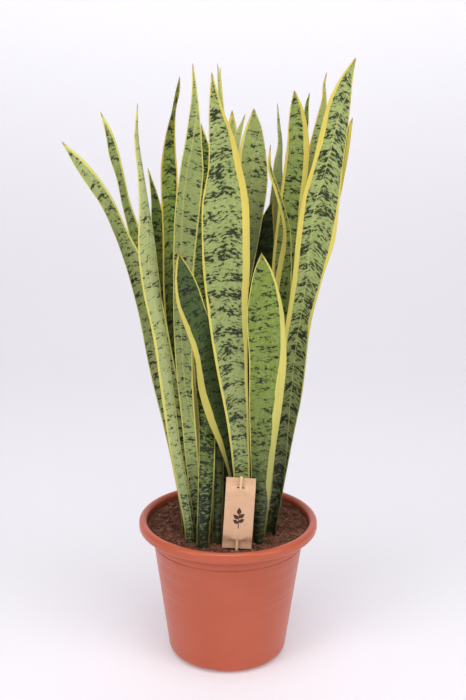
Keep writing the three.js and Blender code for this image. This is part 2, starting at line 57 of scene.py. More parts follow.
pot_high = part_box("pot")[1]
POT_TOP = pot_high.z
RIM_RADIUS = pot_high.x
RIM_THICKNESS = 9.4 * MM
RIM_HEIGHT = 12.7 * MM
RIM_SHELL = 2.6 * MM
LIP_ROUNDING = 4.2 * MM
WALL_TOP_RADIUS = RIM_RADIUS - 14.8 * MM
WALL_FOOT_RADIUS = WALL_TOP_RADIUS - 21.2 * MM
WALL_THICKNESS = 2.2 * MM
COLLAR_HEIGHT = 14 * MM
COLLAR_PROUD = 1.5 * MM
FOOT_ROUNDING = 12 * MM
FOOT_WIDTH = 5 * MM
FLOOR_LIFT = 4 * MM
FLOOR_THICKNESS = 2.4 * MM
FOOT_PAD_RADIUS = 15 * MM
DRAIN_HOLE_RADIUS = 6 * MM
DRAIN_HOLE_INSET = 17 * MM
DRAIN_HOLES = 6
NOTCH_WIDTH = 16 * MM
NOTCH_HEIGHT = 4.6 * MM
NOTCHES = 4
FIRST_NOTCH_ANGLE = -17.5
EDGE_BREAK = 0.4 * MM
RIM_LIP = 0.8 * MM          # straight lower edge of the rim's two shells
AXIS_GAP = 0.5 * MM         # the outline stops here, and the middle is filled in
POT_SEGMENTS = 256
# Fine moulded lines, as steps outwards and upwards in millimetres.
COLLAR_LINE = ((0.1, 1.2), (0, 0.1), (-0.9, -0.1), (-0.7, -1.3))
COLLAR_LOWER_EDGE = ((-0.4, 0.5), (-0.6, 0.1))
SHADOW_LINE = ((0.2, 0), (-0.9, -0.2), (-0.9, -1.8), (-0.3, -2.6))
MOULD_RINGS = (0.55, 0.60, 0.73, 0.83)      # faint steps in the wall, as shares of its height
RING_ABOVE = 3 * MM
RING_BELOW = 6 * MM
RING_EDGE = 0.03 * MM
RING_DEPTH = 0.28 * MM
RING_STEP = 0.7 * MM

shoulder_top = POT_TOP - RIM_HEIGHT
rim_inner_radius = RIM_RADIUS - RIM_THICKNESS
floor_top = FLOOR_LIFT + FLOOR_THICKNESS


def wall_radius(z):
    return WALL_FOOT_RADIUS + (WALL_TOP_RADIUS - WALL_FOOT_RADIUS) * z / shoulder_top


def arc(radius_at, z_at, radius, start, end, steps):
    angles = np.radians(np.linspace(start, end, steps + 1))
    return [(radius_at + radius * math.cos(a), z_at + radius * math.sin(a)) for a in angles]


def stepped(radius, z, steps):
    """Points that lie the given millimetres out and up from a radius and height."""
    return [(radius + out * MM, z + up * MM) for out, up in steps]


def mesh_object(name, vertices, faces, material, smooth=True):
    mesh = bpy.data.meshes.new(name)
    points = [tuple(map(float, v)) for v in vertices]
    mesh.from_pydata(points, [], [tuple(map(int, f)) for f in faces])
    mesh.update()
    mesh.polygons.foreach_set("use_smooth", [smooth] * len(mesh.polygons))
    piece = bpy.data.objects.new(name, mesh)
    bpy.context.scene.collection.objects.link(piece)
    mesh.materials.append(material)
    return piece


def turned(outline, segments):
    """Vertices and faces of an outline of (radius, z) spun about the pot's axis."""
    vertices = []
    for i in range(segments):
        angle = 2 * math.pi * i / segments
        vertices += [(r * math.cos(angle), r * math.sin(angle), z) for r, z in outline]
    count = len(outline)
    faces = []
    for i in range(segments):
        here, there = i * count, (i + 1) % segments * count
        for j in range(count - 1):
            faces.append((here + j, there + j, there + j + 1, here + j + 1))
    return vertices, faces


def pot_outline():
    roll = RIM_THICKNESS / 2
    collar_bottom = shoulder_top - COLLAR_HEIGHT
    inner_rounding = FOOT_ROUNDING - WALL_THICKNESS
    inner_corner = floor_top + inner_rounding
    inner_corner_radius = wall_radius(inner_corner) - WALL_THICKNESS - inner_rounding
    foot_centre = wall_radius(FOOT_ROUNDING) - FOOT_ROUNDING
    foot_inner = foot_centre - FOOT_WIDTH
    groove_outer = RIM_RADIUS - RIM_SHELL
    groove_inner = rim_inner_radius + RIM_SHELL
    groove_top = POT_TOP - RIM_SHELL - roll / 2
    shoulder_drop = rim_inner_radius - WALL_TOP_RADIUS + WALL_THICKNESS
    outline = [(AXIS_GAP, floor_top)]
    outline += arc(inner_corner_radius, inner_corner, inner_rounding, -90, 0, 8)
    outline += [(WALL_TOP_RADIUS - WALL_THICKNESS, shoulder_top - shoulder_drop)]
    outline += [(rim_inner_radius, shoulder_top)]
    outline += arc(RIM_RADIUS - roll, POT_TOP - roll, roll, 180, 0, 22)
    outline += arc(RIM_RADIUS - LIP_ROUNDING, shoulder_top + LIP_ROUNDING, LIP_ROUNDING, 0, -70, 10)
    outline += [(groove_outer, shoulder_top), (groove_outer, shoulder_top + RIM_LIP)]
    outline += [(groove_outer, groove_top), (groove_inner, groove_top)]
    outline += [(groove_inner, shoulder_top + RIM_LIP), (groove_inner, shoulder_top)]
    outline += [(WALL_TOP_RADIUS + COLLAR_PROUD - EDGE_BREAK, shoulder_top)]
    outline += [(WALL_TOP_RADIUS + COLLAR_PROUD, shoulder_top - EDGE_BREAK)]
    # A fine line runs round the middle of the collar.
    collar_middle = shoulder_top - COLLAR_HEIGHT / 2
    outline += stepped(wall_radius(collar_middle) + COLLAR_PROUD, collar_middle, COLLAR_LINE)
    outline += stepped(wall_radius(collar_bottom) + COLLAR_PROUD, collar_bottom, COLLAR_LOWER_EDGE)
    # The wall is drawn in under the collar, which leaves a fine shadow line.
    outline += stepped(wall_radius(collar_bottom), collar_bottom, SHADOW_LINE)
    # The wall steps in by a hair at each ring of the mould.
    for share in sorted(MOULD_RINGS, reverse=True):
        z = share * shoulder_top
        outline += [(wall_radius(z + RING_ABOVE), z + RING_ABOVE), (wall_radius(z) - RING_EDGE, z)]
        outline += [(wall_radius(z) - RING_DEPTH, z - RING_STEP)]
        outline += [(wall_radius(z - RING_BELOW), z - RING_BELOW)]
    outline += [(wall_radius(z), z) for z in (50 * MM, 25 * MM)]
    outline += arc(foot_centre, FOOT_ROUNDING, FOOT_ROUNDING, 0, -90, 12)
    outline += [(foot_inner, 0), (foot_inner - FLOOR_LIFT / 2, FLOOR_LIFT)]
    outline += [(FOOT_PAD_RADIUS + FLOOR_LIFT / 2, FLOOR_LIFT), (FOOT_PAD_RADIUS, 0), (AXIS_GAP, 0)]
    return outline


class Wiring:
    """Short ways to write the sums and mixes of a material."""

    def __init__(self, name):
        self.material = bpy.data.materials.new(name)
        self.material.use_nodes = True
        self.tree = self.material.node_tree
        self.shader = next(n for n in self.tree.nodes if n.type == "BSDF_PRINCIPLED")

    def add(self, kind, **settings):
        node = self.tree.nodes.new(kind)
        for key, value in settings.items():
            setattr(node, key, value)
        return node

    def feed(self, socket, value):
        if isinstance(value, bpy.types.NodeSocket):
            self.tree.links.new(value, socket)
        else:
            socket.default_value = value

    def sum(self, operation, *values, clamp=False):
        node = self.add("ShaderNodeMath", operation=operation, use_clamp=clamp)
        for socket, value in zip(node.inputs, values):
            self.feed(socket, value)
        return node.outputs[0]

    def attribute(self, name):
        node = self.add("ShaderNodeAttribute", attribute_name=name)
        return node.outputs["Fac"]

    def place(self):
        return self.add("ShaderNodeTexCoord").outputs["Object"]

    def height(self, place):
        node = self.add("ShaderNodeSeparateXYZ")
        self.feed(node.inputs[0], place)
        return node.outputs["Z"]

    def vector(self, x, y, z):
        node = self.add("ShaderNodeCombineXYZ")
        for socket, value in zip(node.inputs, (x, y, z)):
            self.feed(socket, value)
        return node.outputs[0]

    def stretched(self, vector, scale):
        node = self.add("ShaderNodeVectorMath", operation="MULTIPLY")
        self.feed(node.inputs[0], vector)
        node.inputs[1].default_value = scale
        return node.outputs[0]

    def noise(self, vector, scale, detail=2.0, rough=0.5):
        node = self.add("ShaderNodeTexNoise")
        self.feed(node.inputs["Vector"], vector)
        node.inputs["Scale"].default_value = scale
        node.inputs["Detail"].default_value = detail
        node.inputs["Roughness"].default_value = rough
        return node.outputs["Fac"]

    def cells(self, vector, scale):
        node = self.add("ShaderNodeTexVoronoi")
        self.feed(node.inputs["Vector"], vector)
        node.inputs["Scale"].default_value = scale
        return node.outputs["Distance"]

    def step(self, value, low, high, to_low=0.0, to_high=1.0):
        """A smooth step from to_low to to_high as the value passes from low to high."""
        node = self.add("ShaderNodeMapRange", interpolation_type="SMOOTHSTEP")
        for socket, number in zip(node.inputs, (value, low, high, to_low, to_high)):
            self.feed(socket, number)
        return node.outputs[0]

    def mix(self, share, first, second):
        node = self.add("ShaderNodeMix", data_type="RGBA")
        self.feed(node.inputs[0], share)
        self.feed(node.inputs[6], first)
        self.feed(node.inputs[7], second)
        return node.outputs[2]

    def bump(self, height, strength, distance, after=None):
        node = self.add("ShaderNodeBump")
        node.inputs["Strength"].default_value = strength
        node.inputs["Distance"].default_value = distance
        self.feed(node.inputs["Height"], height)
        if after is not None:
            self.feed(node.inputs["Normal"], after)
        return node.outputs[0]

    def finish(self, colour=None, roughness=None, normal=None, **constants):
        if colour is not None:
            self.feed(self.shader.inputs["Base Color"], colour)
        if roughness is not None:
            self.feed(self.shader.inputs["Roughness"], roughness)
        if normal is not None:
            self.feed(self.shader.inputs["Normal"], normal)
        for key, value in constants.items():
            self.shader.inputs[key.replace("_", " ")].default_value = value
        return self.material


def shade(red, green, blue):
    """A colour given in the usual 0 to 255 values, as the linear values that a shader takes."""
    def linear(value):
        share = value / 255
        return share / 12.92 if value < 11 else ((share + 0.055) / 1.055) ** 2.4

    return (linear(red), linear(green), linear(blue), 1.0)


def terracotta_plastic():
    w = Wiring("terracotta_plastic")
    place = w.place()
    clouds = w.noise(place, 14, 3)
    speckle = w.noise(place, 900, 2)
    flow = w.noise(w.stretched(place, (1, 1, 0.12)), 60, 3)
    colour = w.mix(w.step(clouds, 0.3, 0.7), shade(190, 88, 58), shade(196, 94, 64))
    colour = w.mix(w.step(speckle, 0.62, 0.75, 0, 0.18), colour, shade(214, 128, 102))
    # Dry soil dust gathers in smudges on the rim and thins out down the wall.
    near_rim = w.step(w.height(place), 0.09, 0.17, 0.15, 1.0)
    smudge = w.step(w.noise(place, 34, 4, 0.65), 0.56, 0.74, 0, 0.14)
    colour = w.mix(w.sum("MULTIPLY", near_rim, smudge), colour, shade(160, 104, 82))
    scuffs = w.step(w.noise(w.stretched(place, (1, 1, 5)), 120, 2), 0.70, 0.78, 0, 0.22)
    colour = w.mix(scuffs, colour, shade(208, 120, 96))
    roughness = w.sum("ADD", 0.27, w.sum("MULTIPLY", clouds, 0.10))
    normal = w.bump(speckle, 0.16, 0.0003)
    normal = w.bump(flow, 0.10, 0.0008, after=normal)
    return w.finish(colour, roughness, normal, Specular_IOR_Level=0.45)


plastic = terracotta_plastic()
vertices, faces = turned(pot_outline()[::-1], POT_SEGMENTS)
pot = mesh_object("nursery_pot", vertices, faces, plastic)

shape = bmesh.new()
shape.from_mesh(pot.data)
bmesh.ops.remove_doubles(shape, verts=shape.verts, dist=0.00002)
open_rims = [e for e in shape.edges if e.is_boundary]
bmesh.ops.holes_fill(shape, edges=open_rims, sides=0)
bmesh.ops.recalc_face_normals(shape, faces=shape.faces)
shape.to_mesh(pot.data)
shape.free()

foot_outer = wall_radius(FOOT_ROUNDING)
hole_circle = foot_outer - FOOT_ROUNDING - FOOT_WIDTH - DRAIN_HOLE_INSET
notch_reach = 2 * (FOOT_ROUNDING + FOOT_WIDTH + FLOOR_LIFT)
cutters = bmesh.new()
for i in range(DRAIN_HOLES):
    angle = math.radians(360 / DRAIN_HOLES * i)
    made = bmesh.ops.create_cone(cutters, cap_ends=True, segments=32, radius1=DRAIN_HOLE_RADIUS,
                                 radius2=DRAIN_HOLE_RADIUS, depth=3 * floor_top)
    spot = Vector((hole_circle * math.cos(angle), hole_circle * math.sin(angle), 0))
    bmesh.ops.translate(cutters, verts=made["verts"], vec=spot)
for i in range(NOTCHES):
    turn = Matrix.Rotation(math.radians(FIRST_NOTCH_ANGLE + 360 / NOTCHES * i), 3, "Z")
    made = bmesh.ops.create_cube(cutters, size=1)
    bmesh.ops.scale(cutters, verts=made["verts"], vec=(NOTCH_WIDTH, notch_reach, 2 * NOTCH_HEIGHT))
    bmesh.ops.translate(cutters, verts=made["verts"], vec=(0, -foot_outer, 0))
    bmesh.ops.rotate(cutters, verts=made["verts"], cent=(0, 0, 0), matrix=turn)
cutter_mesh = bpy.data.meshes.new("pot_openings")
cutters.to_mesh(cutter_mesh)
cutters.free()
cutter = bpy.data.objects.new("pot_openings", cutter_mesh)
bpy.context.scene.collection.objects.link(cutter)
cut = pot.modifiers.new("openings", "BOOLEAN")
cut.object = cutter
cut.operation = "DIFFERENCE"
cut.solver = "EXACT"


def applied(piece):
    """Turns a piece's modifiers into its mesh."""
    bpy.context.view_layer.update()
    graph = bpy.context.evaluated_depsgraph_get()
    piece.data = bpy.data.meshes.new_from_object(piece.evaluated_get(graph))
    piece.modifiers.clear()


applied(pot)
bpy.data.objects.remove(cutter)
pot.data.materials.clear()
pot.data.materials.append(plastic)
pot.data.polygons.foreach_set("material_index", [0] * len(pot.data.polygons))
pot.data.polygons.foreach_set("use_smooth", [True] * len(pot.data.polygons))
pot.data.set_sharp_from_angle(angle=math.radians(32))
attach(pot, "root")
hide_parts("pot")

# ---------- the rhizomes ----------
# Thick orange-brown underground stems that creep through the soil. Each carries the
# leaves that grew from it, and none of them shows above the soil.

SOIL_LEVEL = POT_TOP - 7 * MM
PLANTING_RADIUS = WALL_TOP_RADIUS - WALL_THICKNESS
RHIZOMES = {      # from and to, as shares of the planting radius, and the depth in millimetres
    "left": ((-0.55, 0.07), (-0.51, -0.32), 30),
    "front": ((-0.50, -0.57), (-0.11, -0.73), 52),
    "centre": ((0.19, -0.61), (0.07, -0.05), 44),
    "right": ((0.41, -0.68), (0.57, -0.09), 28),
    "back": ((0.09, 0.30), (0.48, 0.16), 62),
}


def rhizome_skin():
    w = Wiring("rhizome_skin")
    place = w.place()
    rings = w.noise(place, 160, 4, 0.7)
    colour = w.mix(w.noise(place, 45, 3), shade(170, 106, 52), shade(214, 156, 92))
    colour = w.mix(w.step(rings, 0.55, 0.72, 0, 0.7), colour, shade(96, 58, 36))
    return w.finish(colour, w.sum("ADD", 0.55, w.sum("MULTIPLY", rings, 0.3)), w.bump(rings, 0.5, 0.001))


skin = rhizome_skin()
for name in RHIZOMES:
    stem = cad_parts[f"rhizome_{name}"]
    stem.data.materials.clear()
    stem.data.materials.append(skin)

# ---------- the potting soil ----------
# Coarse reddish-brown coir and bark, pressed in to just under the rim. Loose crumbs
# and stiff pale fibres lie on it.

SOIL_EDGE_DIP = 1.5 * MM
SOIL_EDGE_BAND = 20 * MM
SOIL_SETTLED = 0.8 * MM     # how far the lumpy surface lies under the level at planting
SOIL_CLEARANCE = 0.4 * MM
SOIL_SEGMENTS = 240
SOIL_RINGS = 84
CRUMBS = 3400
CRUMB_MARGIN = 3.5 * MM
FIBRES = 420
FIBRE_STEPS = 6

soil_radius = rim_inner_radius - SOIL_CLEARANCE


def soil_height(x, y):
    radius = math.hypot(x, y)
    spot = Vector((x, y, 0))
    lumps = 2.0 * noise.noise(spot * 52) + 1.5 * noise.noise(spot * 130 + Vector((3, 1, 7)))
    grit = 0.8 * noise.noise(spot * 330) + 0.5 * noise.noise(spot * 700 + Vector((5, 2, 1)))
    edge = max(0.0, (radius - soil_radius + SOIL_EDGE_BAND) / SOIL_EDGE_BAND)
    surface = SOIL_LEVEL - SOIL_EDGE_DIP * edge * edge - SOIL_SETTLED
    return surface + (lumps + grit) * MM * (1 - 0.5 * edge)


def coir_soil():
    w = Wiring("coir_soil")
    place = w.place()
    grain = w.attribute("grain")
    clods = w.cells(place, 260)
    fine = w.noise(place, 620, 4, 0.7)
    colour = w.mix(w.step(fine, 0.3, 0.7), shade(52, 30, 25), shade(126, 80, 64))
    colour = w.mix(w.step(w.noise(place, 90, 3), 0.42, 0.66, 0, 0.6), colour, shade(148, 98, 78))
    grain_colour = w.mix(grain, shade(40, 24, 22), shade(150, 104, 78))
    colour = w.mix(w.step(grain, 0.0, 1.0, 0, 0.75), colour, grain_colour)
    colour = w.mix(w.step(clods, 0.0, 0.35, 0.55, 0), colour, shade(26, 15, 15))
    normal = w.bump(fine, 0.9, 0.0009)
    return w.finish(colour, 0.93, normal, Specular_IOR_Level=0.2)


coir = coir_soil()


def around(radius):
    """Points round the pot's axis at one radius."""
    angles = [2 * math.pi * i / SOIL_SEGMENTS for i in range(SOIL_SEGMENTS)]
    return [(radius * math.cos(a), radius * math.sin(a)) for a in angles]


def soil_body():
    vertices, faces = [(0, 0, soil_height(0, 0))], []
    for r in soil_radius * (np.arange(1, SOIL_RINGS + 1) / SOIL_RINGS):
        vertices += [(x, y, soil_height(x, y)) for x, y in around(r)]
    inner_rounding = FOOT_ROUNDING - WALL_THICKNESS
    inner_corner = floor_top + inner_rounding
    corner_radius = wall_radius(inner_corner) - WALL_THICKNESS - inner_rounding
    below = [(soil_radius, shoulder_top + SOIL_CLEARANCE)]
    below += [(PLANTING_RADIUS - SOIL_CLEARANCE, shoulder_top - (rim_inner_radius - PLANTING_RADIUS))]
    below += arc(corner_radius, inner_corner, inner_rounding - SOIL_CLEARANCE, 0, -90, 6)
    for r, z in below:
        vertices += [(x, y, z) for x, y in around(r)]
    vertices.append((0, 0, floor_top + SOIL_CLEARANCE))
    total = SOIL_RINGS + len(below)
    last = 1 + (total - 1) * SOIL_SEGMENTS
    for i in range(SOIL_SEGMENTS):
        j = (i + 1) % SOIL_SEGMENTS
        faces.append((0, 1 + i, 1 + j))
        for ring in range(total - 1):
            a, b = 1 + ring * SOIL_SEGMENTS, 1 + (ring + 1) * SOIL_SEGMENTS
            faces.append((a + i, b + i, b + j, a + j))
        faces.append((last + i, len(vertices) - 1, last + j))
    return vertices, faces


def paint_attribute(piece, name, values):
    layer = piece.data.attributes.new(name, "FLOAT", "POINT")
    layer.data.foreach_set("value", np.asarray(values, dtype=np.float32))


vertices, faces = soil_body()
soil = mesh_object("soil_fill", vertices, faces, coir)
paint_attribute(soil, "grain", [0.0] * len(vertices))
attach(soil, "root")
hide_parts("potting_soil")

scatter = np.random.default_rng(7)


def spot_on_soil(margin):
    radius = (soil_radius - margin) * math.sqrt(scatter.random())
    angle = 2 * math.pi * scatter.random()
    return radius * math.cos(angle), radius * math.sin(angle)


ball = bmesh.new()
bmesh.ops.create_icosphere(ball, subdivisions=1, radius=1)
ball_points = np.array([v.co[:] for v in ball.verts])
ball_faces = [[v.index for v in f.verts] for f in ball.faces]
ball.free()
vertices, faces, grains = [], [], []
for _ in range(CRUMBS):
    size = (0.7 + 2.6 * scatter.random() ** 2.4) * MM
    x, y = spot_on_soil(CRUMB_MARGIN)
    turn = Matrix.Rotation(2 * math.pi * scatter.random(), 3, "Z")
    turn = turn @ Matrix.Rotation(0.8 * (scatter.random() - 0.5), 3, scatter.normal(size=3))
    stretch = np.array([1.25, 0.35 + 0.4 * scatter.random(), 0.25 + 0.3 * scatter.random()])
    rough = 1 + 0.3 * scatter.normal(size=(len(ball_points), 1))
    points = (ball_points * rough * stretch * size) @ np.array(turn).T
    points += np.array([x, y, soil_height(x, y) + 0.25 * size])
    faces += [[i + len(vertices) for i in f] for f in ball_faces]
    vertices += [tuple(p) for p in points]
    grains += [scatter.random()] * len(points)
crumbs = mesh_object("soil_crumbs", vertices, faces, coir, smooth=False)
paint_attribute(crumbs, "grain", grains)
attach(crumbs, "root")


def rings_joined(rings, count):
    """Faces between neighbouring closed rings that have the same number of points."""
    faces = []
    for here in range(0, (rings - 1) * count, count):
        there = here + count
        for i in range(count):
            j = (i + 1) % count
            faces.append((here + i, here + j, there + j, there + i))
    return faces


def tube(path, radii, sides):
    """A closed round tube along a path, as vertices and faces."""
    path = np.asarray(path, float)
    ahead = np.gradient(path, axis=0)
    ahead /= np.linalg.norm(ahead, axis=1)[:, None]
    side = np.cross(ahead, [0.3, 0.2, 0.93])
    side /= np.linalg.norm(side, axis=1)[:, None]
    other = np.cross(ahead, side)
    angles = 2 * math.pi * np.arange(sides) / sides
    vertices = [tuple(p + r * (math.cos(a) * s + math.sin(a) * o))
                for p, s, o, r in zip(path, side, other, radii) for a in angles]
    faces = rings_joined(len(path), sides)
    faces.append(tuple(range(sides))[::-1])
    faces.append(tuple(range((len(path) - 1) * sides, len(path) * sides)))
    return vertices, faces


vertices, faces, grains = [], [], []
for _ in range(FIBRES):
    length = (5 + 13 * scatter.random()) * MM
    x, y = spot_on_soil(length)
    heading = 2 * math.pi * scatter.random()
    bend = 2.4 * (scatter.random() - 0.5)
    lift = 1.6 * MM * scatter.random()
    path = []
    for t in np.linspace(0, 1, FIBRE_STEPS + 1):
        path.append((x, y, soil_height(x, y) + (0.3 * MM + lift * 4 * t * (1 - t))))
        x += length / FIBRE_STEPS * math.cos(heading + bend * t)
        y += length / FIBRE_STEPS * math.sin(heading + bend * t)
    thick = (0.12 + 0.16 * scatter.random()) * MM
    strand, sides = tube(path, [thick * w for w in (0.5, 0.9, 1, 1, 1, 0.8, 0.3)], 4)
    faces += [tuple(i + len(vertices) for i in f) for f in sides]
    vertices += strand
    grains += [0.75 + 0.25 * scatter.random()] * len(strand)
fibres = mesh_object("coir_fibres", vertices, faces, coir)
paint_attribute(fibres, "grain", grains)
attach(fibres, "root")

# ---------- the leaves ----------
# Stiff, waxy, sword-shaped leaves, channelled at the foot and nearly flat above, each
# grown from a rhizome. Dark green cross bands run over grey-green, the margins are
# yellow, and the tip is a fine awl.

FOOT_THICKNESS = 4.4 * MM
BLADE_THICKNESS = 3 * MM
TIP_THICKNESS = 1.2 * MM
MARGIN_THICKNESS = 0.9 * MM
FOOT_SPREAD = 0.7
FOOT_CUP = 0.4
BLADE_CUP = 0.13
BLADE_START = 150 * MM
RING_SPACING = 4 * MM
LAST_RINGS = (1.6, 0.5, 0)  # millimetres before the tip
POINTS_ACROSS = 21
NARROWEST = 0.7             # least width in the list below, in millimetres
NARROWEST_SECTION = 0.4 * MM
TIP_ROUNDING = 4 * MM
WAVER_HEIGHT = 0.45 * MM
WAVER_STARTS = 50 * MM      # above the soil
WAVER_FULL = 200 * MM
FULL_WAVER_WIDTH = 30 * MM  # narrower blades waver less
SWELL = 0.018

